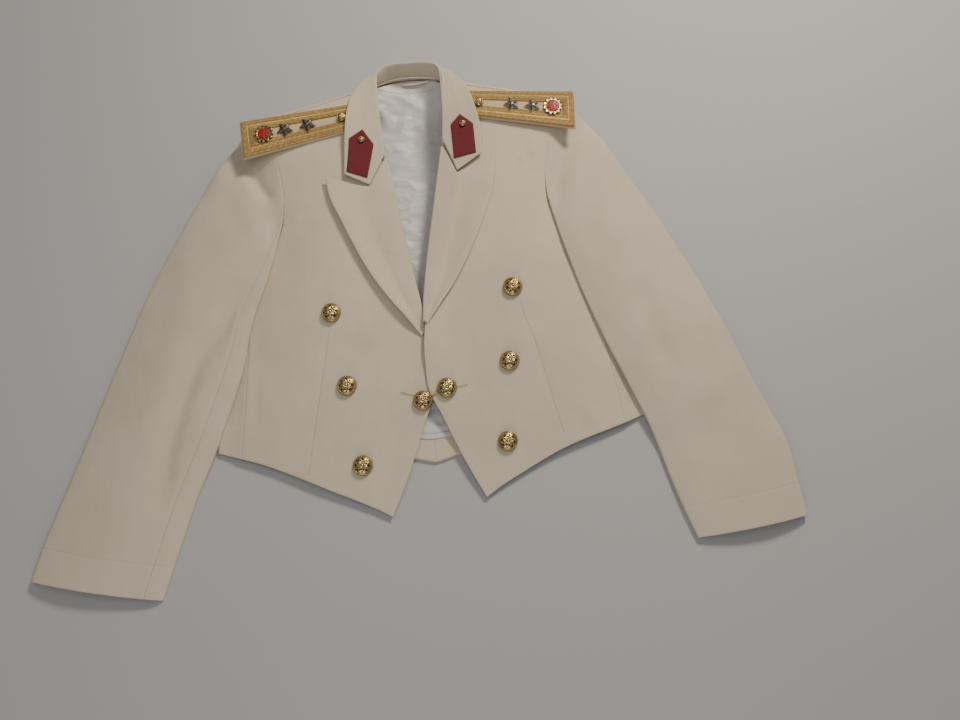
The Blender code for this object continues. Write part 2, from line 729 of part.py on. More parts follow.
def neck_seam(side):
    """Foot of the collar's half, from the centre back round to the roll of the lapel."""
    t = even(COLLAR_BACK_STEPS)
    last = BACK_ROWS[-1]
    back = np.stack(
        [
            last.neck_x * t,
            last.centre_y + (last.neck_y - last.centre_y) * t**2 + SEAM_GAP,
            last.centre_z + (last.neck_z - last.centre_z) * t**2 + 4 * SEAM_GAP,
        ],
        axis=-1,
    )
    back[:, 0] *= side
    neck = along_curve(NECK_EDGE, even(NECK_STEPS))[::-1][1:]
    front = front_point(neck[:, 0], neck[:, 1], side)
    front[:, 0] -= side * SEAM_GAP
    back[-1, 0] -= side * SEAM_GAP
    return np.concatenate([back, front])


def bent(start, control, end, share):
    """A point of the curve that leaves start towards control and arrives at end."""
    share = share[:, None]
    return start * (1 - share) ** 2 + control * 2 * share * (1 - share) + end * share**2


def collar_grid():
    """Right side of the collar: up from the neck seam, over its fold and out to its free edge."""
    rows = {}
    for side in (LEFT, RIGHT):
        seam = neck_seam(side)
        corner, notch = COLLAR_END["left" if side == LEFT else "right"]
        for number, (row, foot) in enumerate(zip(COLLAR_ROWS, seam)):
            last = number == len(COLLAR_ROWS) - 1
            fold_x, fold_y = lie(row.fold_x, row.fold_y, side)
            edge_x, edge_y = lie(*corner, side) if last else lie(row.edge_x, row.edge_y, side)
            fold = np.array([fold_x, fold_y, row.fold_z])
            edge = np.array([edge_x, edge_y, row.edge_z])
            way = (edge - fold)[:2] / np.linalg.norm((edge - fold)[:2])
            inside = fold - (*(way * 3.4), 0.6)
            stand = bent(foot, inside, fold, np.array([0.0, 0.35, 0.65, 0.86, 1.0]))
            reach = fold + (edge - fold) * (0.55, 0.55, 0.0)
            fall = bent(fold, reach, edge, np.array(COLLAR_FALL))
            if last:
                share = np.interp(COLLAR_FALL, (0, COLLAR_FALL[2], 1.0), (0, 1, 0))[:, None]
                fall += share * (*(np.array(lie(*notch, side)) - fall[2, :2]), -COLLAR_END_DROP)
            rows[side * number] = np.concatenate([stand, fall])
    return np.array([rows[number] for number in sorted(rows)])


# Straps, their lace and what is pinned on them


def strap_point(side, along, across, raised=0.0):
    """A point of the strap's top side: along it from 0 to 1, and across it from -1 to 1."""
    inner, outer = np.array(STRAP_INNER), np.array(STRAP_OUTER)
    along = np.asarray(along, float)
    across = np.asarray(across, float)
    run = (outer - inner) / np.linalg.norm(outer - inner)
    half = (STRAP_INNER_WIDTH + (STRAP_OUTER_WIDTH - STRAP_INNER_WIDTH) * along) / 2
    x = inner[0] + (outer[0] - inner[0]) * along - run[1] * half * across
    start, end = STRAP_SKEW["left" if side == LEFT else "right"]
    y = inner[1] + (outer[1] - inner[1]) * along + run[0] * half * across + start + (end - start) * along
    z = STRAP_TOP_Z - STRAP_DROP * along - STRAP_CROWN * across**2 + raised
    return np.stack([side * x, y, z + 0 * x], axis=-1)


def strap_grid(side):
    along = even(STRAP_ALONG)[:, None]
    across = np.linspace(-1, 1, 2 * STRAP_ACROSS + 1)[None, :]
    return strap_point(side, along + 0 * across, across + 0 * along)


def lace_grid(side):
    """The lace border: up one side of the strap, round its outer end and down the other side."""
    length = math.dist(STRAP_INNER, STRAP_OUTER)
    outer, inner = [], []
    stops = even(STRAP_ALONG) * (1 - LACE_MARGIN / length)
    turn = 1 - LACE_END / length
    for edge in (-1, 1):
        line = []
        for along in stops:
            half = (STRAP_INNER_WIDTH + (STRAP_OUTER_WIDTH - STRAP_INNER_WIDTH) * along) / 2
            wide = LACE_WIDTH_INNER + (LACE_WIDTH_OUTER - LACE_WIDTH_INNER) * along
            line.append((along, edge * (1 - LACE_MARGIN / half), edge * (1 - (LACE_MARGIN + wide) / half)))
        if edge == 1:
            line = line[::-1]
        outer += [(along, far) for along, far, _ in line]
        inner += [(along * turn / stops[-1], near) for along, _, near in line]
        if edge == -1:
            far, near = line[-1][1], line[-1][2]
            for share in (0.25, 0.5, 0.75):
                outer.append((stops[-1], far * (1 - 2 * share)))
                inner.append((turn, near * (1 - 2 * share)))
    outer, inner = np.array(outer), np.array(inner)
    columns = [outer * (1 - share) + inner * share for share in (0.0, 0.5, 1.0)]
    flat = np.stack(columns, axis=1)
    return strap_point(side, flat[..., 0], flat[..., 1], LACE_THICK + SEAM_GAP)


def laid_on(x, y, tree, rise):
    """A grid over places of the pattern, at a distance above the surface below them."""
    grid = settled(np.stack([x, y, 0 * x], axis=-1))
    for index in np.ndindex(x.shape):
        found, normal = set_down(tree, *grid[index][:2])
        grid[index] = found + normal * rise
    return grid


def patch_grid(side, tree):
    """Right side of a gorget patch, laid over the collar."""
    corners = PATCH_CORNERS["left" if side == LEFT else "right"]
    point, shoulder_in, low_in, low_out, shoulder_out = (np.array(c, float) for c in corners)
    bottom = along_curve([low_in, low_out], even(4), straight=True)
    top = np.array([shoulder_in, (shoulder_in + point) / 2, point, (point + shoulder_out) / 2, shoulder_out])
    inner = along_curve([low_in, shoulder_in], even(6), straight=True)
    outer = along_curve([low_out, shoulder_out], even(6), straight=True)
    flat = patch_between(bottom, top, inner, outer)
    x, y = lie(flat[..., 0], flat[..., 1], side)
    return laid_on(x, y, tree, PATCH_THICK + PATCH_GAP)


# Turned and cut pieces


def turned(name, profile, steps, material, frame):
    """A round piece, turned from a profile of radius and height that starts and ends on the axis."""
    mesh = bpy.data.meshes.new(name)
    points = [(radius * MM, 0.0, height * MM) for radius, height in profile]
    mesh.from_pydata(points, [(i, i + 1) for i in range(len(points) - 1)], [])
    obj = place(bpy.data.objects.new(name, mesh), material, frame)
    turn = obj.modifiers.new("turn", "SCREW")
    turn.steps = steps
    turn.render_steps = steps
    turn.use_merge_vertices = True
    turn.merge_threshold = 0.00005
    turn.use_normal_calculate = True
    return obj


def button_profile(width, height):
    """Profile of a domed brass button with a rolled rim."""
    r = width / 2
    return (
        (0.0, 0.0),
        (r * 0.86, 0.0),
        (r, height * 0.2),
        (r, height * 0.42),
        (r * 0.88, height * 0.54),
        (r * 0.8, height * 0.5),
        (r * 0.5, height * 0.88),
        (0.0, height),
    )


def stand_on(obj, tree, x, y, gap=SEAM_GAP, spin=0.0):
    """Sets a piece down on the surface below a place, square to it."""
    x, y, _ = settled((x, y, 0.0))
    found, normal = set_down(tree, x, y)
    square = normal.to_track_quat("Z", "Y").to_matrix().to_4x4()
    move = Matrix.Translation((found + normal * gap) * MM)
    obj.matrix_basis = move @ square @ Matrix.Rotation(spin, 4, "Z")
    return obj


def star_mesh(name, width, waist, rim, height, points=5):
    """A faceted star: a thin rim and ridges that rise from its points to its middle."""
    mesh = bmesh.new()
    low, high = [], []
    for number in range(2 * points):
        radius = width / 2 * (1 if number % 2 == 0 else waist)
        turn = math.pi / 2 + math.pi * number / points
        x, y = radius * math.cos(turn) * MM, radius * math.sin(turn) * MM
        low.append(mesh.verts.new((x, y, 0)))
        high.append(mesh.verts.new((x, y, rim * MM)))
    top = mesh.verts.new((0, 0, height * MM))
    mesh.faces.new(low[::-1])
    for a in range(2 * points):
        b = (a + 1) % (2 * points)
        mesh.faces.new((low[a], low[b], high[b], high[a]))
        mesh.faces.new((high[a], high[b], top))
    data = bpy.data.meshes.new(name)
    mesh.to_mesh(data)
    mesh.free()
    return data


def rosette_mesh(name):
    """The rim of the rosette: a ring with a lobed outline round a shallow seat."""
    mesh = bmesh.new()
    count = ROSETTE_LOBES * 3
    outline, seat = ROSETTE_WIDTH / 2, ENAMEL_WIDTH / 2 + SEAM_GAP
    loops = []
    profile = (
        (outline, 0.06, 0.0),
        (outline, 0.06, 1.2),
        (outline * 0.88, 0.03, 2.0),
        (seat, 0, 1.9),
        (seat, 0, 0.7),
    )
    for radius, wave, z in profile:
        loop = []
        for number in range(count):
            turn = 2 * math.pi * number / count
            reach = radius * (1 + wave * math.cos(turn * ROSETTE_LOBES))
            loop.append(mesh.verts.new((reach * math.cos(turn) * MM, reach * math.sin(turn) * MM, z * MM)))
        loops.append(loop)
    mesh.faces.new(loops[0][::-1])
    mesh.faces.new(loops[-1])
    for lower, upper in zip(loops, loops[1:]):
        for a in range(count):
            b = (a + 1) % count
            mesh.faces.new((lower[a], lower[b], upper[b], upper[a]))
    data = bpy.data.meshes.new(name)
    mesh.to_mesh(data)
    mesh.free()
    return data


# The jacket


def hem_line(x):
    """The back's hem, which rises to both sides of its point."""
    row = BACK_ROWS[0]
    near = row.centre_y + (row.neck_y - row.centre_y) * np.abs(x / row.neck_x) ** HEM_BOW
    return np.where(np.abs(x) > row.neck_x, row.neck_y + (np.abs(x) - row.neck_x) * 0.083, near)


def hem_turn_top(x):
    return HEM_TURN_TOP_Y + 0.5 * hem_line(x)


def lining_grid():
    """Right side of the back lining, which faces up, with the folds that it lies in."""
    across = np.linspace(-1, 1, LINING_ACROSS + 1)[None, :]
    up = even(LINING_ALONG)[:, None]
    neck = ease((up - 0.84) / 0.16)
    half = LINING_HALF_WIDTH + (LINING_TOP_HALF - LINING_HALF_WIDTH) * ease((up - 0.6) / 0.4)
    x = half * across
    foot = hem_turn_top(x) - LINING_LAP
    rise = (x / BACK_ROWS[-1].neck_x) ** 2 * neck
    y = foot + (LINING_TOP_Y - foot) * up - 38 * rise
    low = LINING_LOW_Z + LINING_STEP * (1 - ease((y - foot - 8) / 25))
    z = low + (LINING_TOP_Z - LINING_LOW_Z) * neck ** 1.3 + 32 * rise
    for fold in WRINKLES:
        turn = math.radians(fold.turn)
        along = (x - fold.x) * math.cos(turn) + (y - fold.y) * math.sin(turn)
        off = -(x - fold.x) * math.sin(turn) + (y - fold.y) * math.cos(turn)
        z = z + fold.height * np.exp(-((along / (fold.length / 2)) ** 2) - (off / (fold.width / 2)) ** 2)
    return np.stack([x + 0 * up, y, z], axis=-1)


def hem_turn_grid():
    """Right side of the hem turned up inside the back, on the back's own line."""
    x = np.linspace(-HEM_TURN_HALF, HEM_TURN_HALF, 13)
    up = even(2)[:, None]
    low = hem_line(x) + 1.0
    y = low + (hem_turn_top(x) - low) * up
    return np.stack([x + 0 * up, y, CLOTH * 2 + 0.5 + 0 * y], axis=-1)


def build_half(which, frame):
    """Cloth of one half. Returns the surfaces that things are set down on."""
    side = SIDES[which]
    mirrored = side == RIGHT
    cloth = cloth_white()
    front = settled(front_grid(side))
    side_body = side_body_grid(side)
    upper, under = (settled(grid) for grid in sleeve_grids(which))
    lapel = settled(lapel_grid(side))
    sheet(f"back_{which}", settled(back_grid(side)), CLOTH, cloth, frame, flip=not mirrored)
    sheet(f"front_{which}", front, CLOTH, cloth, frame, flip=mirrored)
    sheet(f"side_body_{which}", side_body, CLOTH, cloth, frame, flip=mirrored)
    sheet(f"sleeve_top_{which}", upper, CLOTH, cloth, frame, flip=mirrored)
    sheet(f"sleeve_under_{which}", under, CLOTH, cloth, frame, flip=mirrored)
    sheet(f"lapel_{which}", lapel, CLOTH, cloth, frame, flip=mirrored)
    return ground([front]), ground([lapel])


def build_strap(which, frame):
    """Strap with its lace, two stars, rosette and button."""
    side = SIDES[which]
    mirrored = side == RIGHT
    board = settled(strap_grid(side))
    lace = settled(lace_grid(side))
    sheet(f"strap_{which}", board, STRAP_THICK, new_material("ivory_board", (0.7, 0.64, 0.5), 0.8),
          frame, flip=not mirrored)
    sheet(f"lace_{which}", lace, LACE_THICK, gold_lace(), frame, flip=not mirrored)
    tree = ground([board])
    pin = LACE_THICK + SEAM_GAP + PIN_GAP
    spin = math.radians(-95 if side == LEFT else 95)
    for number, along in enumerate(STARS_AT, 1):
        name = f"star_{which}_{number}"
        obj = bpy.data.objects.new(name, star_mesh(name, STAR_WIDTH, STAR_WAIST, 0.6, STAR_HEIGHT))
        place(obj, dark_bronze(), frame)
        x, y, _ = strap_point(side, along, 0.0)
        stand_on(obj, tree, x, y, gap=pin, spin=spin)
    x, y, _ = strap_point(side, ROSETTE_AT, 0.0)
    name = f"rosette_{which}"
    obj = place(bpy.data.objects.new(name, rosette_mesh(name)), brass(), frame)
    stand_on(obj, tree, x, y, gap=pin, spin=spin)
    profile = ((0, 0), (ENAMEL_WIDTH / 2, 0), (ENAMEL_WIDTH / 2, 1.0), (ENAMEL_WIDTH / 3, 1.8), (0, 2.2))
    obj = turned(f"enamel_{which}", profile, 16, red_enamel(), frame)
    stand_on(obj, tree, x, y, gap=pin + 0.7 + SEAM_GAP)
    x, y, _ = strap_point(side, STRAP_BUTTON_AT, 0.0)
    profile = button_profile(STRAP_BUTTON_WIDTH, STRAP_BUTTON_HEIGHT)
    obj = turned(f"strap_button_{which}", profile, 16, brass(), frame)
    stand_on(obj, tree, x, y, gap=pin)


def build_buttons(which, tree, frame):
    """The three buttons down a front, and that front's button of the link."""
    side = SIDES[which]
    profile = button_profile(BUTTON_WIDTH, BUTTON_HEIGHT)
    for number, (x, y) in enumerate(FRONT_BUTTONS, 1):
        obj = turned(f"front_button_{which}_{number}", profile, 20, brass(), frame)
        stand_on(obj, tree, *lie(x, y, side), gap=PIN_GAP)
    obj = turned(f"link_button_{which}", profile, 20, brass(), frame)
    x, y = lie(LINK_BUTTON[0], LINK_BUTTON[1], side)
    stand_on(obj, tree, x + LINK_SHIFT, y, gap=PIN_GAP)
    return obj


def build_link(links, frame):
    """The bar that joins the two link buttons, between their rims."""
    ends = [Vector(links[which].matrix_basis.translation) / MM for which in SIDES]
    run = ends[1] - ends[0]
    half = (run.length - BUTTON_WIDTH) / 2 - SEAM_GAP
    r = LINK_WIDTH / 2
    profile = ((0, -half), (r * 0.7, -half), (r, 0.5 - half), (r, half - 0.5), (r * 0.7, half), (0, half))
    obj = turned("link_bar", profile, 12, brass(), frame)
    middle = (ends[0] + ends[1]) / 2 + Vector((0, 0, LINK_RISE))
    square = run.to_track_quat("Z", "Y").to_matrix().to_4x4()
    obj.matrix_basis = Matrix.Translation(middle * MM) @ square


def build_jacket():
    collection = bpy.data.collections.new("mess_jacket")
    bpy.context.scene.collection.children.link(collection)
    frame = bpy.data.objects.new("mess_jacket_frame", None)
    collection.objects.link(frame)
    frame.location = (-MIDDLE_X * MM, -MIDDLE_Y * MM, 0.0)

    links = {}
    for which in SIDES:
        front_tree, _ = build_half(which, frame)
        build_strap(which, frame)
        links[which] = build_buttons(which, front_tree, frame)

    build_link(links, frame)
    collar = settled(collar_grid())
    sheet("collar", collar, COLLAR_CLOTH, cloth_white(), frame, flip=True)
    collar_tree = ground([collar[:, 4:]])
    for which, side in SIDES.items():
        patch = patch_grid(side, collar_tree)
        sheet(f"gorget_patch_{which}", patch, PATCH_THICK, crimson_felt(), frame, flip=side == RIGHT)
        profile = button_profile(PATCH_BUTTON_WIDTH, PATCH_BUTTON_HEIGHT)
        obj = turned(f"patch_button_{which}", profile, 12, brass(), frame)
        stand_on(obj, ground([patch]), *lie(PATCH_BUTTON[0], PATCH_BUTTON[1], side), gap=PIN_GAP)

    sheet("back_lining", settled(lining_grid()), LINING, lining_white(), frame)
    sheet("hem_turn", hem_turn_grid(), CLOTH, cloth_white(), frame)
    return collection


def main():
    for obj in list(bpy.data.objects):
        bpy.data.objects.remove(obj, do_unlink=True)
    build_jacket()


main()
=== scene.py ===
"""Looks of an ivory mess jacket that lies flat on its back.

Each cut piece of cloth is drawn from the jacket's pattern at the place of its solid, then gets its
creases, rounded edges, weave and stitching. Pattern sizes are millimetres: x runs out from the
centre back, y up from the point of the back hem, and z is the height above the floor. Left and
right are the wearer's, so the left half lies at +X.
"""

import json
import logging
import math
from collections.abc import Callable, Mapping, Sequence
from dataclasses import astuple, dataclass, field
from enum import Enum
from functools import cached_property

import bpy
import numpy as np
from mathutils import Matrix, Vector
from mathutils.bvhtree import BVHTree
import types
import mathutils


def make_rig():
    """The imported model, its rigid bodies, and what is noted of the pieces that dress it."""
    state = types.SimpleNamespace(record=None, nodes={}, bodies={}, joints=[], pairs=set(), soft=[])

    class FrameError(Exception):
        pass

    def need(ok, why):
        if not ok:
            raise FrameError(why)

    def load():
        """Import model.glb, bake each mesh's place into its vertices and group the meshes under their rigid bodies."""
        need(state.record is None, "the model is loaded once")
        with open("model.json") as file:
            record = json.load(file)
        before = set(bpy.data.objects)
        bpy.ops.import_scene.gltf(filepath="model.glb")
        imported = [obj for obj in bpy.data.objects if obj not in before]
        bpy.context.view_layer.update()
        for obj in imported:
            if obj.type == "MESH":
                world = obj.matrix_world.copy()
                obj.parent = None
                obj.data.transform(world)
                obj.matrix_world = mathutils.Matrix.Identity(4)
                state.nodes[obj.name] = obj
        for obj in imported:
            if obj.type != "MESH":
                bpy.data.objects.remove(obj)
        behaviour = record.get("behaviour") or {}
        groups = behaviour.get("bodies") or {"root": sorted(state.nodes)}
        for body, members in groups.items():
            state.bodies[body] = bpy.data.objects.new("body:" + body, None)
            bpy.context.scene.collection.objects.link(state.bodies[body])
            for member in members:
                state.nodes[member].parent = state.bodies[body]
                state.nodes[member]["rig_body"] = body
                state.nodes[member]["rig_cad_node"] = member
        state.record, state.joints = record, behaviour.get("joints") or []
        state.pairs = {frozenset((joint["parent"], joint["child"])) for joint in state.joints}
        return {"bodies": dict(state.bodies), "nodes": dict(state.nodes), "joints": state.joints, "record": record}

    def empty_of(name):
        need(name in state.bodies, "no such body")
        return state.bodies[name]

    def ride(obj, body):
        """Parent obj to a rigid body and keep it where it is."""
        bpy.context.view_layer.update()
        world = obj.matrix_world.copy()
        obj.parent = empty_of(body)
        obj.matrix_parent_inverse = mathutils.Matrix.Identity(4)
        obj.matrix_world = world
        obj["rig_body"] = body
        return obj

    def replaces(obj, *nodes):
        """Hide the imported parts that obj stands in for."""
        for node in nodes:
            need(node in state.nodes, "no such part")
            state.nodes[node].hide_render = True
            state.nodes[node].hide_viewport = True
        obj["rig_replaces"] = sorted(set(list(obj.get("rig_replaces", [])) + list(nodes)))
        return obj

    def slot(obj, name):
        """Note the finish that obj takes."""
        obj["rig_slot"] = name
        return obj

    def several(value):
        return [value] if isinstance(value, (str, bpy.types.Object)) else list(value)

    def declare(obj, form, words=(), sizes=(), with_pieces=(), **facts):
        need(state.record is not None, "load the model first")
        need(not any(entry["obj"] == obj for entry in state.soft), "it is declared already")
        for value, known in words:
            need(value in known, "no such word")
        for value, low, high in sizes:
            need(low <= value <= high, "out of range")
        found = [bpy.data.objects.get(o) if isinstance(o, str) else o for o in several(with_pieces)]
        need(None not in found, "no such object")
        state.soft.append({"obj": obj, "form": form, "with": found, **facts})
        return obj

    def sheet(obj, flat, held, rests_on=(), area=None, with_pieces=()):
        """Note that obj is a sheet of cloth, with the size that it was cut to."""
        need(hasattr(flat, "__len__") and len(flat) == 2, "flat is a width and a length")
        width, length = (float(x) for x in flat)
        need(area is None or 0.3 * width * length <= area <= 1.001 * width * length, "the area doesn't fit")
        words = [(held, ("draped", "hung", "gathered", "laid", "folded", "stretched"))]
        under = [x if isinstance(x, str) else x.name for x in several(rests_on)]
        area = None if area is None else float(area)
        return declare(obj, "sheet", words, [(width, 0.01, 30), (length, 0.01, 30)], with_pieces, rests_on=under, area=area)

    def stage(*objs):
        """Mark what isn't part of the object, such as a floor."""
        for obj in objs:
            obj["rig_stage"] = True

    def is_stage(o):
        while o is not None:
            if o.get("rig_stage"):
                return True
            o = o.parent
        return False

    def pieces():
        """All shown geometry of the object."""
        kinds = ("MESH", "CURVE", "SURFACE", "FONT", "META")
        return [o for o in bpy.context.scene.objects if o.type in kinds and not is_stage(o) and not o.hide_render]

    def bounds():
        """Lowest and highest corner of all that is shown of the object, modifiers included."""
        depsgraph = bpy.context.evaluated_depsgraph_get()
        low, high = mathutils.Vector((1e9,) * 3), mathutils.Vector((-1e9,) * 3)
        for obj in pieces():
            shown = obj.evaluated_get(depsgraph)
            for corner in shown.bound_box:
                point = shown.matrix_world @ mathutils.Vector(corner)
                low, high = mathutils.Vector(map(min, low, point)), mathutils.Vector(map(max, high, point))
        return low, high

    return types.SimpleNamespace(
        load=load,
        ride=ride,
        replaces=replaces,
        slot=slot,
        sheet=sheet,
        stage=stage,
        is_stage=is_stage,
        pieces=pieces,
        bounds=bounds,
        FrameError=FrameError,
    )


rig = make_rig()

LOG = logging.getLogger("mess_jacket")
MM = 0.001
SIZE_FILE = "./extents.json"
EDGE_ROWS = (0.5, 1.2, 2.4)
ABOVE_ALL = 500.0
CREASE_STEPS = 48
FLOOR_Z = -0.0006

Array = np.ndarray
Point = tuple[float, float]
Place = tuple[float, float, float]
Colour = tuple[float, float, float]


class Side(Enum):
    """The wearer's side that a piece belongs to."""

    LEFT = 1
    RIGHT = -1

    @property
    def word(self) -> str:
        """The side as it stands in names."""
        return self.name.lower()


class Lie(Enum):
    """How a sheet of cloth is held."""

    LAID = "laid"
    FOLDED = "folded"


# Curves and grids


def ease(share: Array | float) -> Array:
    """A share from 0 to 1 that starts and ends gently."""
    share = np.clip(share, 0.0, 1.0)
    return share * share * (3 - 2 * share)


def even(steps: int) -> Array:
    """Shares from 0 to 1 in equal steps."""
    return np.linspace(0.0, 1.0, steps + 1)


def between(start: Array | float, end: Array | float, share: Array | float) -> Array | float:
    """The value at a share of the way from start to end."""
    return start + (end - start) * share


def window(value: Array, start: float, rise: float, end: float, fall: float) -> Array:
    """A share that rises over a distance from start, and falls over another from end."""
    return ease((value - start) / rise) * (1 - ease((value - end) / fall))


def bell(value: Array, middle: float, width: float) -> Array:
    """A bell that is 1 at the middle and fades over a width."""
    return np.exp(-(((value - middle) / width) ** 2))


def crests(turn: Array, count: float) -> Array:
    """A wave from 0 to 1 with a count of crests in a whole turn."""
    return 0.5 + 0.5 * np.cos(turn * count)


def smooth_values(knots: Sequence[float], values: Sequence, at: Array) -> Array:
    """Values on a smooth curve.

    Args:
        knots: Places where the value is known, in rising order.
        values: A number or a point for each knot.
        at: Places to work out.

    Returns:
        A value for each place.
    """
    knots = np.asarray(knots, float)
    values = np.asarray(values, float)
    at = np.clip(np.asarray(at, float), knots[0], knots[-1])
    shape = (-1,) + (1,) * (values.ndim - 1)
    slopes = np.diff(values, axis=0) / np.diff(knots).reshape(shape)
    inner = (values[2:] - values[:-2]) / (knots[2:] - knots[:-2]).reshape(shape)
    tangents = np.concatenate([slopes[:1], inner, slopes[-1:]])
    cell = np.clip(np.searchsorted(knots, at, side="right") - 1, 0, len(knots) - 2)
    width = np.diff(knots)[cell]
    share = (at - knots[cell]) / width
    grown = at.shape + (1,) * (values.ndim - 1)
    width, share = width.reshape(grown), share.reshape(grown)
    start, end = values[cell], values[cell + 1]
    leave, arrive = tangents[cell] * width, tangents[cell + 1] * width
    return (
        start * (1 + 2 * share) * (1 - share) ** 2
        + leave * share * (1 - share) ** 2
        + end * share**2 * (3 - 2 * share)
        + arrive * share**2 * (share - 1)
    )


def lengths(points: Array) -> Array:
    """Length of a line of points up to each of them."""
    return np.concatenate([[0.0], np.cumsum(np.linalg.norm(np.diff(points, axis=0), axis=-1))])


def along_curve(points: Sequence, shares: Array, straight: bool = False) -> Array:
    """Points at shares of the length of a curve.

    Args:
        points: Points that the curve goes through.
        shares: Places on it, from 0 to 1.
        straight: Whether the curve is made of straight stretches.

    Returns:
        A point for each share.
    """
    points = np.asarray(points, float)
    knots = lengths(points)
    at = np.asarray(shares, float) * knots[-1]
    if straight:
        return np.stack([np.interp(at, knots, column) for column in points.T], axis=-1)
    return smooth_values(knots, points, at)


def patch_between(bottom: Array, top: Array, inner: Array, outer: Array) -> Array:
    """Grid of points between four edges that share their corners, with rows from inner to outer.

    Args:
        bottom: Points of the first row.
        top: Points of the last row.
        inner: Points of the first column.
        outer: Points of the last column.

    Returns:
        The grid, in rows from bottom to top.
    """
    u = even(len(bottom) - 1)[None, :, None]
    v = even(len(inner) - 1)[:, None, None]
    corners = (
        (1 - u) * (1 - v) * bottom[0] + u * (1 - v) * bottom[-1]
        + (1 - u) * v * top[0] + u * v * top[-1]
    )
    across = (1 - v) * bottom[None] + v * top[None]
    up = (1 - u) * inner[:, None] + u * outer[:, None]
    return across + up - corners


def bent(start: Array, control: Array, end: Array, share: Array) -> Array:
    """Points of the curve that leaves start towards control and arrives at end."""
    share = share[:, None]
    return start * (1 - share) ** 2 + control * 2 * share * (1 - share) + end * share**2


# How the whole jacket lies


@dataclass(frozen=True)
class Level:
    """Height of the body's top at one height of the pattern."""

    y: float
    centre_z: float
    chest_z: float
    seam_x: float
    seam_z: float
    floor_x: float


@dataclass(frozen=True)
class Rumple:
    """One soft wave of the cloth's unevenness: its length, way, start and height."""

    length: float
    way: float
    start: float
    height: float

    def lift(self, x: Array, y: Array) -> Array:
        """Height of the wave at places."""
        turn = math.radians(self.way)
        along = (x * math.cos(turn) + y * math.sin(turn)) / self.length
        return self.height * np.sin(2 * math.pi * along + self.start)


@dataclass(frozen=True)
class Lay:
    """How the jacket was put down, which every piece follows."""

    skew: float = 6.5
    neck_shift: float = 5.5
    middle: Point = (-23.0, 213.5)
    chest_x: float = 118.0
    levels: tuple[Level, ...] = (
        Level(-60, 6.0, 6.0, 240, 6.0, 296),
        Level(0, 9.5, 10.0, 240, 7.5, 300),
        Level(37, 14.0, 15.0, 240, 9.0, 304),
        Level(80, 20.0, 20.5, 237, 10.5, 304),
        Level(150, 24.0, 28.0, 232, 12.5, 304),
        Level(200, 27.0, 32.5, 229, 14.5, 304),
        Level(255, 30.0, 36.0, 225, 18.0, 302),
        Level(290, 32.0, 38.0, 200, 22.0, 270),
        Level(325, 34.5, 40.0, 182, 27.5, 236),
        Level(380, 39.0, 43.0, 178, 35.0, 226),
        Level(430, 44.5, 46.0, 194, 42.0, 234),
        Level(466, 48.0, 48.0, 208, 45.0, 244),
        Level(510, 46.5, 46.0, 208, 44.0, 244),
    )
    rumples: tuple[Rumple, ...] = (
        Rumple(171, 22, 0.4, 0.55),
        Rumple(118, 101, 2.1, 0.4),
        Rumple(83, -38, 4.0, 0.28),
        Rumple(61, 64, 1.3, 0.16),
    )

    def lie(self, x: Array, y: Array, side: Side) -> tuple[Array, Array]:
        """Where a point of the pattern's half lies, with the two fronts slightly out of line.

        Args:
            x: Distance out from the centre back.
            y: Height in the pattern.
            side: The half that the point belongs to.

        Returns:
            The point's place in the laid jacket.
        """
        near_armhole = ease((y - 180) / 90)
        reach = (x - 130 + 45 * near_armhole) / (110 - 23 * near_armhole)
        skew = self.skew * (1 - ease(reach)) * (1 - ease((y - 420) / 45))
        return side.value * x, y + side.value * skew

    def settled(self, grid: Sequence) -> Array:
        """Points with the neck moved a little to the wearer's left."""
        grid = np.array(grid, float)
        out = 1 - 0.6 * ease((np.abs(grid[..., 0]) - 80) / 130)
        grid[..., 0] += self.neck_shift * ease((grid[..., 1] - 250) / 190) * out
        return grid

    def spot(self, at: Point, side: Side, shift: float = 0.0) -> Point:
        """Place in the laid jacket of a point of the pattern's half, moved sideways by a shift."""
        x, y = self.lie(*at, side)
        x, y, _ = self.settled((x + shift, y, 0.0))
        return float(x), float(y)

    def height(self, x: Array | float, y: Array | float) -> Array:
        """Height of the top of the body's cloth at points of the pattern."""
        x, y = np.asarray(x, float), np.asarray(y, float)
        at = [level.y for level in self.levels]
        centre, chest, seam_x, seam, floor_x = (
            smooth_values(at, [getattr(level, name) for level in self.levels], y)
            for name in ("centre_z", "chest_z", "seam_x", "seam_z", "floor_x")
        )
        chest_x = np.minimum(self.chest_x, seam_x - 50)
        over_chest = between(centre, chest, ease(x / chest_x))
        out = np.clip((x - chest_x) / (seam_x - chest_x), 0, 1)
        beyond = np.clip((x - seam_x) / (floor_x - seam_x), 0, 1)
        to_seam = between(chest, seam, out**1.6)
        past = seam * (1 - beyond) ** 1.15
        return np.where(x < chest_x, over_chest, np.where(x < seam_x, to_seam, past))

    def rumpled(self, points: Array) -> Array:
        """Height that the cloth's unevenness adds to points, none of it on the floor."""
        x, y = points[..., 0], points[..., 1]
        return sum(wave.lift(x, y) for wave in self.rumples) * ease((points[..., 2] - 3) / 9)

    def framed(self, points: Array) -> Array:
        """Points in metres from the jacket's origin."""
        return (np.asarray(points, float) - (*self.middle, 0.0)) * MM


LAY = Lay()


# Shader nodes


def operator(name: str, turned: bool = False) -> Callable[["Wire", "Wire | float"], "Wire"]:
    """A method that gives a Math node of a wire and another value, in turned order if asked."""

    def result(wire: "Wire", other: "Wire | float") -> "Wire":
        """The node's result."""
        return wire.graph.math(name, other, wire) if turned else wire.graph.math(name, wire, other)

    return result


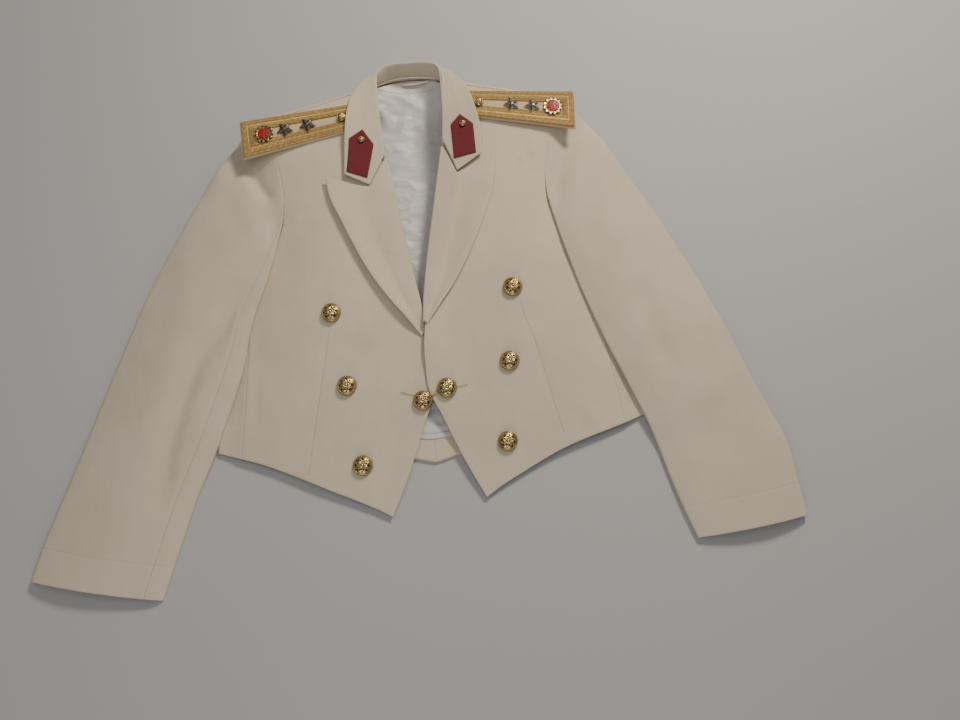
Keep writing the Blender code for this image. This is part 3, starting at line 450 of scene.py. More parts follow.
class Wire:
    """A socket's output, on which Python's operators add Math nodes."""

    def __init__(self, graph: "Graph", socket: bpy.types.NodeSocket) -> None:
        """Wraps a socket of a graph."""
        self.graph = graph
        self.socket = socket

    def math(self, operation: str, *others: "Wire | float") -> "Wire":
        """The result of a Math node on this value and the others."""
        return self.graph.math(operation, self, *others)

    __add__ = __radd__ = operator("ADD")
    __sub__ = operator("SUBTRACT")
    __rsub__ = operator("SUBTRACT", turned=True)
    __mul__ = operator("MULTIPLY")
    __truediv__ = operator("DIVIDE")
    __pow__ = operator("POWER")

    def __abs__(self) -> "Wire":
        """This value without its sign."""
        return self.math("ABSOLUTE")

    def wave(self, length: float) -> "Wire":
        """A wave from 0 to 1 over this value, with one crest in each length."""
        return (self * (2 * math.pi / length)).math("SINE") * 0.5 + 0.5

    def rise(self, start: float, end: float) -> "Wire":
        """A share that rises from 0 at start to 1 at end, or falls where end is the lower one."""
        low, high, turned = (start, end, False) if start < end else (end, start, True)
        node = self.graph.node(
            "ShaderNodeMapRange",
            {"interpolation_type": "SMOOTHSTEP"},
            {"Value": self, "From Min": low, "From Max": high},
        )
        share = Wire(self.graph, node.outputs["Result"])
        return 1.0 - share if turned else share

    def line(self, at: float, width: float) -> "Wire":
        """1 where this value is at a place, fading to 0 over a width on both sides."""
        return abs(self - at).rise(width, 0.0)


class Graph:
    """The nodes of one material."""

    def __init__(self, name: str) -> None:
        """Starts a material with its Principled shader."""
        self.material = bpy.data.materials.new(name)
        self.material.use_nodes = True
        self.tree = self.material.node_tree
        self.shader = self.tree.nodes["Principled BSDF"]

    def node(
        self,
        kind: str,
        settings: Mapping[str, object] | None = None,
        values: Mapping[str | int, object] | None = None,
    ) -> bpy.types.Node:
        """Adds a node.

        Args:
            kind: The node's type.
            settings: Its properties, which are set first.
            values: Numbers, colours or wires for its input sockets.

        Returns:
            The node.
        """
        node = self.tree.nodes.new(kind)
        for name, value in (settings or {}).items():
            setattr(node, name, value)
        for key, value in (values or {}).items():
            self.feed(node.inputs[key], value)
        return node

    def feed(self, socket: bpy.types.NodeSocket, value: object) -> None:
        """Links a wire to an input socket, or sets a constant on it."""
        if isinstance(value, Wire):
            self.tree.links.new(value.socket, socket)
        elif isinstance(value, tuple) and len(value) == 3 and len(socket.default_value) == 4:
            socket.default_value = (*value, 1.0)
        else:
            socket.default_value = value

    def math(self, operation: str, *operands: Wire | float) -> Wire:
        """The result of one Math node."""
        node = self.node("ShaderNodeMath", {"operation": operation}, dict(enumerate(operands)))
        return Wire(self, node.outputs[0])

    def parts(self, vector: Wire) -> tuple[Wire, ...]:
        """The three numbers of a vector."""
        node = self.node("ShaderNodeSeparateXYZ", values={0: vector})
        return tuple(Wire(self, output) for output in node.outputs)

    def cloth_place(self) -> tuple[Wire, Wire]:
        """Distances across and along the cut piece, in metres."""
        return self.parts(Wire(self, self.node("ShaderNodeUVMap").outputs["UV"]))[:2]

    @cached_property
    def place(self) -> Wire:
        """The place in the jacket, in metres."""
        return Wire(self, self.node("ShaderNodeTexCoord").outputs["Object"])

    def noise(self, size: float, detail: float = 3.0, stretch: Place = (1, 1, 1)) -> Wire:
        """Soft noise over the jacket with features of about a size.

        Args:
            size: Size of a feature in metres.
            detail: Octaves of finer noise.
            stretch: How many times longer its features are along each axis.

        Returns:
            A value round 0.5.
        """
        scale = tuple(1.0 / (size * part) for part in stretch)
        inputs = {0: self.place, 1: scale}
        scaled = self.node("ShaderNodeVectorMath", {"operation": "MULTIPLY"}, inputs)
        values = {"Vector": Wire(self, scaled.outputs[0]), "Scale": 1.0, "Detail": detail}
        return Wire(self, self.node("ShaderNodeTexNoise", values=values).outputs[0])

    def mix(self, first: Wire | Colour, second: Wire | Colour, share: Wire | float) -> Wire:
        """The first colour turned into the second by a share."""
        node = self.node("ShaderNodeMix", {"data_type": "RGBA"})
        self.feed(node.inputs[0], share)
        self.feed(node.inputs[6], first)
        self.feed(node.inputs[7], second)
        return Wire(self, node.outputs[2])

    def bump(
        self, height: Wire, distance: float, strength: float, under: Wire | None = None
    ) -> Wire:
        """A normal from a height.

        Args:
            height: The height, in units of distance.
            distance: The height in metres that 1 stands for.
            strength: Share of the effect.
            under: A normal that it is laid over.

        Returns:
            The normal.
        """
        values = {"Height": height, "Distance": distance, "Strength": strength}
        if under is not None:
            values["Normal"] = under
        return Wire(self, self.node("ShaderNodeBump", values=values).outputs[0])

    def finish(self, **values: object) -> bpy.types.Material:
        """Feeds the shader's sockets, named with _ for a space, and returns the material."""
        for name, value in values.items():
            self.feed(self.shader.inputs[name.replace("_", " ")], value)
        return self.material


# Finishes


@dataclass(frozen=True)
class Finish:
    """A finish, made once as a material and then shared."""

    name: str

    def material(self) -> bpy.types.Material:
        """The finish's material."""
        made = bpy.data.materials.get(self.name)
        return made or self.make(Graph(self.name))

    def make(self, graph: Graph) -> bpy.types.Material:
        """Adds the finish's own nodes. Each finish has its own."""
        raise NotImplementedError


@dataclass(frozen=True)
class Seam:
    """A stitched line in the laid jacket, in millimetres, and its width."""

    start: Point
    end: Point
    width: float = 1.3

    def mask(self, across: Wire, up: Wire) -> Wire:
        """1 on the line, fading to 0 beside it."""
        a, b = (LAY.framed((*point, 0.0)) for point in (self.start, self.end))
        run = b - a
        square = float(run[0] ** 2 + run[1] ** 2)
        from_a = (across - float(a[0]), up - float(a[1]))
        share = (from_a[0] * float(run[0]) + from_a[1] * float(run[1])) / square
        share = share.math("MAXIMUM", 0.0).math("MINIMUM", 1.0)
        off = (from_a[0] - share * float(run[0])) ** 2 + (from_a[1] - share * float(run[1])) ** 2
        return off.math("SQRT").rise(self.width * MM, 0.0)


@dataclass(frozen=True)
class Twill(Finish):
    """Matt ivory worsted in a fine twill, a little soiled, with its hem and seams, whose lines are darkened with
    painted shade.
    """

    colour: Colour = (0.71, 0.62, 0.485)
    shade: Colour = (0.59, 0.495, 0.365)
    # Colour of real soiling, also used for painted shade along the hem line and the seams.
    soil: Colour = (0.40, 0.30, 0.19)
    # Colour of the painted highlight on the flat hem band.
    pressed: Colour = (0.75, 0.67, 0.54)
    pitch: float = 0.0011
    hem: float | None = None
    # Strength of the hem's painted highlight, its line of painted shade and its groove.
    pressed_hem: float = 1.0
    seams: tuple[Seam, ...] = ()
    sheen: float = 0.18

    def make(self, graph: Graph) -> bpy.types.Material:
        """Twill ribs, yarn fuzz, soft blotches, faint soiling, the ironed hem with a painted highlight on its band and
        painted shade along its line, and the seams with painted shade.
        """
        across, along = graph.cloth_place()
        rib = (across + along * 0.82).wave(self.pitch)
        yarn = (across - along * 1.2).wave(self.pitch * 0.55)
        fuzz = graph.noise(0.0016, 4.0)
        cloud = graph.noise(0.075, 4.0).rise(0.36, 0.66)
        mottle = graph.noise(0.018, 3.0).rise(0.3, 0.75)
        spots = graph.noise(0.034, 6.0).rise(0.64, 0.82)
        colour = graph.mix(self.colour, self.shade, cloud * 0.34 + mottle * 0.12)
        colour = graph.mix(colour, self.soil, spots * 0.16)
        weave = 1.0 - rib * 0.5 - yarn * 0.25
        colour = graph.mix(colour, self.shade, weave * 0.22)
        height = rib * 0.55 + yarn * 0.2 + fuzz * 0.35
        normal = graph.bump(graph.noise(0.045, 3.0, (1.0, 2.2, 1.0)), 0.006, 0.32)
        if self.hem is not None:
            band = along.rise(self.hem + 0.0008, self.hem - 0.0008)
            fold = along.line(self.hem, 0.0016)
            # Painted highlight on the hem band, and painted shade along the hem line.
            colour = graph.mix(colour, self.pressed, band * 0.2 * self.pressed_hem)
            colour = graph.mix(colour, self.soil, fold * 0.12 * self.pressed_hem)
            normal = graph.bump(band * 0.7 - fold * 0.8, 0.0006 * self.pressed_hem, 0.7, normal)
        if self.seams:
            x, y, _ = graph.parts(graph.place)
            for seam in self.seams:
                mask = seam.mask(x, y)
                # Painted shade along the seam line.
                colour = graph.mix(colour, self.soil, mask * 0.2)
                normal = graph.bump(1.0 - mask, 0.0007, 0.6, normal)
        normal = graph.bump(height, 0.00022, 0.75, normal)
        return graph.finish(
            Base_Color=colour,
            Roughness=0.8 + mottle * 0.12,
            Normal=normal,
            Sheen_Weight=self.sheen,
            Sheen_Roughness=0.45,
            Specular_IOR_Level=0.25,
        )


@dataclass(frozen=True)
class Satin(Finish):
    """White satin lining with a faint woven diaper."""

    colour: Colour = (0.70, 0.685, 0.685)
    shade: Colour = (0.56, 0.555, 0.60)
    facing: Colour = (0.76, 0.71, 0.62)
    aged: Colour = (0.70, 0.63, 0.50)
    # Lavender of the painted cool reflection on the satin.
    mauve: Colour = (0.62, 0.59, 0.68)
    # Colour of the painted shade along the facing's seam.
    sewn: Colour = (0.30, 0.27, 0.24)
    # Colour of a painted shadow line, at the fold near the lining's foot and under the hanger tape's lower edge.
    folded: Colour = (0.24, 0.22, 0.2)
    repeat: float = 0.032
    facing_from: float | None = None
    # Distance from the lower edge to the painted shadow line.
    pleat: float | None = None

    def make(self, graph: Graph) -> bpy.types.Material:
        """Satin floats, a small woven diaper that changes the gloss, and soft rumples."""
        across, along = graph.cloth_place()
        cross, half = (
            (across + shift).wave(self.repeat) * (along + shift).wave(self.repeat)
            for shift in (0.0, self.repeat / 2)
        )
        figure = (cross + half).rise(0.58, 0.72)
        float_line = across.wave(0.0005)
        rumple = 1.0 - abs(graph.noise(0.05, 2.0, (1.0, 0.6, 1.0)) - 0.5) * 2.0
        wrinkle = graph.noise(0.016, 2.0, (1.6, 0.7, 1.0))
        aged = graph.noise(0.06, 3.0).rise(0.5, 0.78)
        mauve = graph.noise(0.041, 2.0).rise(0.5, 0.72)
        colour = graph.mix(self.colour, self.shade, figure * 0.2 + float_line * 0.08)
        colour = graph.mix(colour, self.aged, aged * 0.2)
        # Painted cool reflection: soft lavender patches.
        colour = graph.mix(colour, self.mauve, mauve * 0.3)
        normal = graph.bump(rumple, 0.008, 0.5)
        normal = graph.bump(wrinkle, 0.0016, 0.16, normal)
        normal = graph.bump(float_line + figure, 0.0001, 0.5, normal)
        if self.facing_from is not None:
            _, up, _ = graph.parts(graph.place)
            above = up.rise(self.facing_from - 0.0004, self.facing_from + 0.0004)
            seam = up.line(self.facing_from, 0.0012)
            colour = graph.mix(colour, self.facing, above)
            # Painted shade along the facing's seam.
            colour = graph.mix(colour, self.sewn, seam * 0.3)
            normal = graph.bump(1.0 - seam, 0.0007, 0.7, normal)
        # A line of painted shadow, with a groove.
        if self.pleat is not None:
            fold = along.line(self.pleat, 0.0009)
            colour = graph.mix(colour, self.folded, fold * 0.5)
            normal = graph.bump(1.0 - fold, 0.0007, 0.7, normal)
        return graph.finish(
            Base_Color=colour,
            Roughness=0.42 - figure * 0.1,
            Normal=normal,
            Sheen_Weight=0.1,
            Anisotropic=0.3,
        )


@dataclass(frozen=True)
class GoldLace(Finish):
    """Woven gold lace: two patterned bands with a bright line between them."""

    gold: Colour = (0.70, 0.46, 0.17)
    deep: Colour = (0.25, 0.135, 0.035)
    bright: Colour = (0.95, 0.74, 0.30)
    width: float = 0.017
    rib: float = 0.0011

    def make(self, graph: Graph) -> bpy.types.Material:
        """Slanting ribs in each band, wire ends, and the bright line down the middle."""
        across, along = graph.cloth_place()
        share = across / self.width
        middle = share.line(0.5, 0.085)
        edge = share.line(0.0, 0.09) + share.line(1.0, 0.09)
        slant = abs(share.math("PINGPONG", 0.25) - 0.125) * 0.022
        rib = (along + slant).wave(self.rib)
        wire = across.wave(0.0007)
        leaf = (along + slant * 1.5).wave(0.0078)
        tarnish = graph.noise(0.009, 4.0).rise(0.45, 0.8)
        light = rib * 0.55 + wire * 0.2 + leaf * 0.3
        colour = graph.mix(self.deep, self.gold, light)
        colour = graph.mix(colour, self.bright, middle * 0.85)
        colour = graph.mix(colour, self.deep, edge * 0.45 + tarnish * 0.28)
        height = rib * 0.6 + wire * 0.25 + middle * 0.7 - edge * 0.5 + leaf * 0.3
        return graph.finish(
            Base_Color=colour,
            Roughness=0.36 + tarnish * 0.25 + rib * 0.1,
            Normal=graph.bump(height, 0.00045, 0.85),
            Metallic=0.55 + middle * 0.2,
        )


@dataclass(frozen=True)
class Gilt(Finish):
    """Gilt brass, polished on its high places and darkened in its hollows by patina and painted shade."""

    bright: Colour = (0.88, 0.67, 0.32)
    dull: Colour = (0.62, 0.40, 0.14)
    # Colour of the hollows: patina with painted shade.
    dark: Colour = (0.055, 0.034, 0.014)
    struck: bool = True

    def make(self, graph: Graph) -> bpy.types.Material:
        """Hollows darken by the relief that the piece carries, as patina and painted shade, with handling marks over
        all.
        """
        _, relief = graph.cloth_place()
        marks = graph.noise(0.0007, 5.0, (1.0, 3.0, 1.0))
        cloud = graph.noise(0.004, 3.0).rise(0.4, 0.75)
        colour = graph.mix(self.bright, self.dull, cloud * 0.45)
        if self.struck:
            # Patina and painted shade in the hollows.
            colour = graph.mix(self.dark, colour, relief.rise(0.26, 0.74))
        return graph.finish(
            Base_Color=colour,
            Roughness=0.2 + marks * 0.12 + cloud * 0.12,
            Normal=graph.bump(marks, 0.00006, 0.6),
            Metallic=1.0,
        )


@dataclass(frozen=True)
class DarkBronze(Finish):
    """Dark bronze of the stars, bright along the ridges with wear and a painted highlight."""

    colour: Colour = (0.12, 0.10, 0.085)
    worn: Colour = (0.5, 0.42, 0.32)

    def make(self, graph: Graph) -> bpy.types.Material:
        """A dark patina that thins along the ridges, for wear and a painted highlight, with fine scratches."""
        _, ridge = graph.cloth_place()
        grain = graph.noise(0.0012, 4.0)
        # Wear with a painted highlight along the ridges.
        worn = ridge.rise(0.62, 1.0) * grain.rise(0.3, 0.6)
        return graph.finish(
            Base_Color=graph.mix(self.colour, self.worn, worn),
            Roughness=0.42 - worn * 0.12 + grain * 0.12,
            Normal=graph.bump(grain, 0.00008, 0.7),
            Metallic=0.95,
        )


@dataclass(frozen=True)
class Enamel(Finish):
    """Clear red enamel over a struck ground."""

    colour: Colour = (0.46, 0.024, 0.009)
    deep: Colour = (0.16, 0.005, 0.005)

    def make(self, graph: Graph) -> bpy.types.Material:
        """Deeper red where the enamel is thick, with a faint orange peel."""
        _, relief = graph.cloth_place()
        peel = graph.noise(0.0011, 2.0)
        return graph.finish(
            Base_Color=graph.mix(self.deep, self.colour, relief.rise(0.1, 0.8)),
            Roughness=0.34 + peel * 0.1,
            Normal=graph.bump(peel, 0.00005, 0.3),
            Coat_Weight=0.25,
            Coat_Roughness=0.08,
        )


@dataclass(frozen=True)
class Felt(Finish):
    """Crimson facing cloth of the gorget patches, milled so that no weave shows."""

    colour: Colour = (0.165, 0.009, 0.017)
    shade: Colour = (0.10, 0.006, 0.011)

    def make(self, graph: Graph) -> bpy.types.Material:
        """Matted fibres, with the cloth darker in soft patches."""
        fibre = graph.noise(0.0007, 5.0, (1.0, 2.5, 1.0))
        cloud = graph.noise(0.008, 3.0).rise(0.35, 0.7)
        return graph.finish(
            Base_Color=graph.mix(self.colour, self.shade, fibre * 0.35 + cloud * 0.4),
            Roughness=0.82 + fibre * 0.12,
            Normal=graph.bump(fibre, 0.0003, 0.8),
            Sheen_Weight=0.25,
            Sheen_Roughness=0.5,
        )


@dataclass(frozen=True)
class Thread(Finish):
    """Twisted sewing thread."""

    colour: Colour = (0.60, 0.53, 0.42)
    shade: Colour = (0.30, 0.25, 0.18)

    def make(self, graph: Graph) -> bpy.types.Material:
        """The thread's twist and its fine hairs."""
        x, y, _ = graph.parts(graph.place)
        twist = (x + y * 0.7).wave(0.0008)
        fuzz = graph.noise(0.0005, 3.0)
        return graph.finish(
            Base_Color=graph.mix(self.colour, self.shade, twist * 0.5),
            Roughness=0.7 + fuzz * 0.2,
            Normal=graph.bump(twist + fuzz * 0.4, 0.0002, 0.8),
        )


@dataclass(frozen=True)
class PaleFloor(Finish):
    """Pale matt floor of the studio."""

    colour: Colour = (0.50, 0.50, 0.50)
    shade: Colour = (0.46, 0.46, 0.465)

    def make(self, graph: Graph) -> bpy.types.Material:
        """A pale grey with the least unevenness."""
        cloud = graph.noise(0.8, 2.0)
        return graph.finish(
            Base_Color=graph.mix(self.colour, self.shade, cloud),
            Roughness=0.75 + cloud * 0.1,
        )


DARTS = (
    Seam((-119, 183), (-131, 126)),
    Seam((-131, 126), (-157, -1)),
    Seam((121, 195), (137, 139)),
    Seam((137, 139), (160, 23)),
)
FRONT_CLOTH = Twill("ivory_twill_front", hem=0.036, pressed_hem=0.2, seams=DARTS)
PLAIN_CLOTH = Twill("ivory_twill")
# A darker copy of the ivory twill, for painted shade on the sleeves and the side bodies.
SHADED_SLEEVE_CLOTH = Twill("ivory_twill_sleeve", colour=(0.66, 0.585, 0.47), hem=0.039, pressed_hem=0.6)
FACING_CLOTH = Twill("ivory_twill_facing", seams=(Seam((0, -4), (0, 45)),))
BOARD_CLOTH = Twill("ivory_board_cloth", colour=(0.69, 0.52, 0.26), pitch=0.0015, sheen=0.1)
# The lining's painted shadow line lies along the fold near its foot.
LINING_SATIN = Satin("white_satin", facing_from=0.3085, pleat=0.0065)
# The tape's painted shadow line lies along its lower edge.
LOOP_TAPE = Satin(
    "white_tape", colour=(0.95, 0.94, 0.93), shade=(0.8, 0.8, 0.8), repeat=0.004, pleat=0.0003
)
STRAP_LACE = GoldLace("gold_lace_bands")
BUTTON_GILT = Gilt("gilt_struck")
PLAIN_GILT = Gilt("gilt_plain", struck=False)
STAR_BRONZE = DarkBronze("star_bronze")
RED_ENAMEL = Enamel("red_enamel_clear")
PATCH_FELT = Felt("crimson_facing")
HOLE_THREAD = Thread("buttonhole_thread")


# Cloth


def link(obj: bpy.types.Object) -> None:
    """Puts an object in the scene."""
    bpy.context.scene.collection.objects.link(obj)


def quads(rows: int, columns: int) -> Array:
    """Corner numbers of a grid's cells."""
    corner = np.arange(rows * columns).reshape(rows, columns)
    cells = [corner[:-1, :-1], corner[:-1, 1:], corner[1:, 1:], corner[1:, :-1]]
    return np.stack(cells, axis=-1).reshape(-1, 4)


@dataclass(frozen=True)
class Crease:
    """A soft fold of the laid jacket: its line, half width and height, below 0 for a trough."""

    line: tuple[Point, ...]
    width: float
    height: float
    fade: float = 0.3

    def lift(self, x: Array, y: Array) -> Array:
        """Height that the fold adds at places, which fades towards both ends of its line."""
        shares = even(CREASE_STEPS)
        course = along_curve(self.line, shares)
        off = (x[..., None] - course[:, 0]) ** 2 + (y[..., None] - course[:, 1]) ** 2
        share = shares[off.argmin(axis=-1)]
        ends = ease(share / self.fade) * ease((1 - share) / self.fade)
        return self.height * np.exp(-off.min(axis=-1) / self.width**2) * ends


@dataclass
class Surface:
    """The right side of a piece as a fine grid, with distances across and along the cut cloth."""

    points: Array
    across: Array
    along: Array

    @staticmethod
    def places(knots: Array, spacing: float) -> Array:
        """Sample places on one axis: all knots, even steps between them, and more at both ends."""
        fine = [knots[:1]]
        for start, end in zip(knots, knots[1:]):
            steps = max(1, math.ceil((end - start) / spacing))
            fine.append(start + (end - start) * even(steps)[1:])
        total = knots[-1]
        extra = [at for end in EDGE_ROWS for at in (end, total - end) if end < total * 0.2]
        at = np.sort(np.concatenate([*fine, extra]))
        return at[np.concatenate([[True], np.diff(at) > 0.15])]

    @classmethod
    def woven(
        cls,
        grid: Array,
        spacing: float = 3.2,
        kink: int | None = None,
        kink_share: Callable[[Array], Array] | None = None,
    ) -> "Surface":
        """Refines a coarse grid on smooth curves through its points.

        Args:
            grid: The coarse grid of the pattern.
            spacing: Size of a cell of the fine grid.
            kink: A column where the rows may turn sharply.
            kink_share: How sharp the turn is, for shares of the way up the grid.

        Returns:
            The fine surface.
        """
        steps = [np.linalg.norm(np.diff(grid, axis=way), axis=-1).mean(1 - way) for way in (0, 1)]
        up, out = (np.concatenate([[0.0], np.cumsum(step)]) for step in steps)
        rows, columns = cls.places(up, spacing), cls.places(out, spacing)
        tall = smooth_values(up, grid, rows).swapaxes(0, 1)
        fine = smooth_values(out, tall, columns)
        if kink is not None:
            first = columns <= out[kink]
            sharp = np.concatenate(
                [
                    smooth_values(out[: kink + 1], tall[: kink + 1], columns[first]),
                    smooth_values(out[kink:], tall[kink:], columns[~first]),
                ]
            )
            share = kink_share(rows / up[-1])[None, :, None]
            fine = fine * (1 - share) + sharp * share
        points = fine.swapaxes(0, 1)
        run = np.linalg.norm(np.diff(points, axis=1), axis=-1)
        rise = np.linalg.norm(np.diff(points, axis=0), axis=-1)
        across = np.concatenate([np.zeros((len(points), 1)), np.cumsum(run, axis=1)], axis=1)
        along = np.concatenate([np.zeros((1, points.shape[1])), np.cumsum(rise, axis=0)])
        return cls(points, across, along)

    def normals(self) -> Array:
        """Unit normals, on the side that faces up where rows run to +Y and columns to +X."""
        out = np.gradient(self.points, axis=1)
        up = np.gradient(self.points, axis=0)
        normal = np.cross(out, up)
        return normal / np.maximum(np.linalg.norm(normal, axis=-1, keepdims=True), 1e-9)

    def from_edge(self) -> Array:
        """Distance of each point from the nearest edge of the piece."""
        sides = np.minimum(self.across, self.across[:, -1:] - self.across)
        return np.minimum(sides, np.minimum(self.along, self.along[-1:] - self.along))

    def crease(self, creases: Sequence[Crease], pinned: float) -> None:
        """Adds soft folds, held down over a distance from the edges."""
        hold = ease(self.from_edge() / pinned) * ease((self.points[..., 2] - 2) / 4)
        for fold in creases:
            lift = fold.lift(self.points[..., 0], self.points[..., 1])
            self.points[..., 2] += lift * hold

    def round_edges(self, depth: float, reach: float = 2.4, flip: bool = False) -> None:
        """Turns the edges down, as where cloth is folded in and sewn."""
        drop = depth * (1 - ease(self.from_edge() / reach))
        self.points -= self.normals() * drop[..., None] * (-1 if flip else 1)

    def tree(self) -> BVHTree:
        """The surface in millimetres, for pieces that are set down on it."""
        faces = quads(*self.across.shape).tolist()
        return BVHTree.FromPolygons(self.points.reshape(-1, 3).tolist(), faces)

    def mesh(self, name: str, flip: bool = False) -> bpy.types.Mesh:
        """The surface as a mesh in metres, with its cloth distances as UVs."""
        points, across, along = self.points, self.across, self.along
        if flip:
            points, across, along = points[:, ::-1], across[:, ::-1], along[:, ::-1]
        faces = quads(*across.shape)
        mesh = bpy.data.meshes.new(name)
        mesh.from_pydata(LAY.framed(points).reshape(-1, 3).tolist(), [], faces.tolist())
        places = np.stack([across, along], axis=-1).reshape(-1, 2)[faces.reshape(-1)] * MM
        mesh.uv_layers.new(name="UVMap").data.foreach_set("uv", places.reshape(-1))
        mesh.shade_smooth()
        return mesh

    def walled(
        self, name: str, wall: float, flip: bool = False, exact: bool = False
    ) -> bpy.types.Object:
        """The surface as an object with a wall under its right side.

        Args:
            name: Name of the object.
            wall: Thickness of the wall.
            flip: Whether the columns are taken the other way, which turns the right side over.
            exact: Whether the wall keeps its thickness where the surface turns.

        Returns:
            The object.
        """
        obj = bpy.data.objects.new(name, self.mesh(name, flip))
        modifier = obj.modifiers.new("wall", "SOLIDIFY")
        modifier.thickness = wall * MM
        modifier.offset = -1.0
        modifier.use_quality_normals = exact
        return obj

    def cut(self) -> tuple[Point, float]:
        """Flat width, length and area of the cut piece, in metres."""
        points = self.points
        diagonals = points[1:, 1:] - points[:-1, :-1], points[1:, :-1] - points[:-1, 1:]
        area = float(np.linalg.norm(np.cross(*diagonals), axis=-1).sum()) / 2
        width, length = float(self.across[:, -1].max()), float(self.along[-1].max())
        length = max(length, area * 1.01 / width)
        return (width * MM, length * MM), area * MM * MM


def set_down(tree: BVHTree, x: float, y: float) -> tuple[Vector, Vector]:
    """The point of a surface below a place, and its upward normal there."""
    found, normal, _, _ = tree.ray_cast(Vector((x, y, ABOVE_ALL)), Vector((0, 0, -1)))
    if found is None:
        found, normal, _, _ = tree.find_nearest(Vector((x, y, 50.0)))
    return found, normal if normal.z > 0 else -normal


def show(obj: bpy.types.Object, finish: Finish, slot: str, *nodes: str) -> None:
    """Puts a piece in the scene in place of its solids.

    Args:
        obj: The piece.
        finish: Its finish.
        slot: The material slot that it takes its finish from.
        nodes: Solids that it stands for.
    """
    link(obj)
    obj.data.materials.append(finish.material())
    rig.ride(obj, "root")
    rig.slot(obj, slot)
    if nodes:
        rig.replaces(obj, *nodes)
    LOG.info("%s made", obj.name)


@dataclass
class ClothPiece:
    """One cut piece of cloth, from its coarse grid to the finished wall."""

    node: str
    grid: Array
    wall: float
    finish: Finish
    slot: str = "ivory_cloth"
    flip: bool = False
    spacing: float = 3.2
    creases: tuple[Crease, ...] = ()
    pinned: float = 14.0
    edge_drop: float = 0.7
    rumpled: bool = True
    kink: int | None = None
    kink_share: Callable[[Array], Array] | None = None
    lie: Lie = Lie.LAID
    rests_on: tuple[str, ...] = ()
    with_pieces: tuple[str, ...] = ()
    surface: Surface = field(init=False)
    flat: Point = field(init=False)
    area: float = field(init=False)

    def build(self) -> "ClothPiece":
        """Refines the grid, gives it its folds and edges, and keeps it above the floor."""
        self.surface = Surface.woven(self.grid, self.spacing, self.kink, self.kink_share)
        self.flat, self.area = self.surface.cut()
        if self.rumpled:
            self.surface.points[..., 2] += LAY.rumpled(self.surface.points)
        self.surface.crease(self.creases, self.pinned)
        self.surface.round_edges(self.edge_drop, flip=self.flip)
        self.surface.points[..., 2] = np.maximum(self.surface.points[..., 2], 0.0)
        return self

    def dress(self) -> None:
        obj = self.surface.walled(f"{self.node}_cloth", self.wall, self.flip, exact=True)
        show(obj, self.finish, self.slot, self.node)
        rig.sheet(
            obj,
            flat=self.flat,
            held=self.lie.value,
            rests_on=self.rests_on,
            area=self.area,
            with_pieces=self.with_pieces,
        )


# Sleeves


@dataclass(frozen=True)
class SleeveRow:
    """One section of a sleeve: its edges, the bow of its row, its outer radius and its loft."""

    outer_x: float
    outer_y: float
    inner_x: float
    inner_y: float
    bow: float
    outer_r: float
    loft: float

    @property
    def width(self) -> float:
        """Width of the section."""
        return math.dist((self.outer_x, self.outer_y), (self.inner_x, self.inner_y))

    def across(self, inward: float) -> Array:
        """Plan of a point, a distance inwards from the outer edge."""
        outer = np.array([self.outer_x, self.outer_y])
        run = np.array([self.inner_x, self.inner_y]) - outer
        share = inward / self.width
        bow = np.array([run[1], -run[0]]) / self.width
        return outer + run * share + bow * self.bow * 4 * share * (1 - share)


@dataclass(frozen=True)
class Armhole:
    """The seam between the body and a sleeve, seen from above."""

    head: Point = (215.0, 484.0)
    fold: Point = (176.0, 327.0)
    bow: float = 15.0
    head_radius: float = 20.0
    fold_radius: float = 3.5
    top_steps: int = 7
    low_steps: int = 6
    gap: float = -0.5

    @property
    def length(self) -> float:
        """Straight length of the seam."""
        return math.dist(self.head, self.fold)

    def points(self, share: Array) -> Array:
        """Plan of the seam, from the back of the sleeve head to the fold of the sleeve."""
        share = np.asarray(share, float)[..., None]
        head, fold = np.array(self.head), np.array(self.fold)
        run = fold - head
        bow = np.array([run[1], -run[0]]) / np.linalg.norm(run)
        return head + run * share + bow * self.bow * 4 * share * (1 - share)

    def shares(self, width: float, outer_r: float, steps: int) -> Array:
        """Places across a section, from its outer curve to its inner fold."""
        return between(outer_r / width, 1 - self.fold_radius / width, even(steps))

    def line(self, steps: int) -> Array:
        """Points of the seam, from the fold of the sleeve to the sleeve head."""
        return self.points(self.shares(self.length, self.head_radius, steps)[::-1])


ARMHOLE = Armhole()


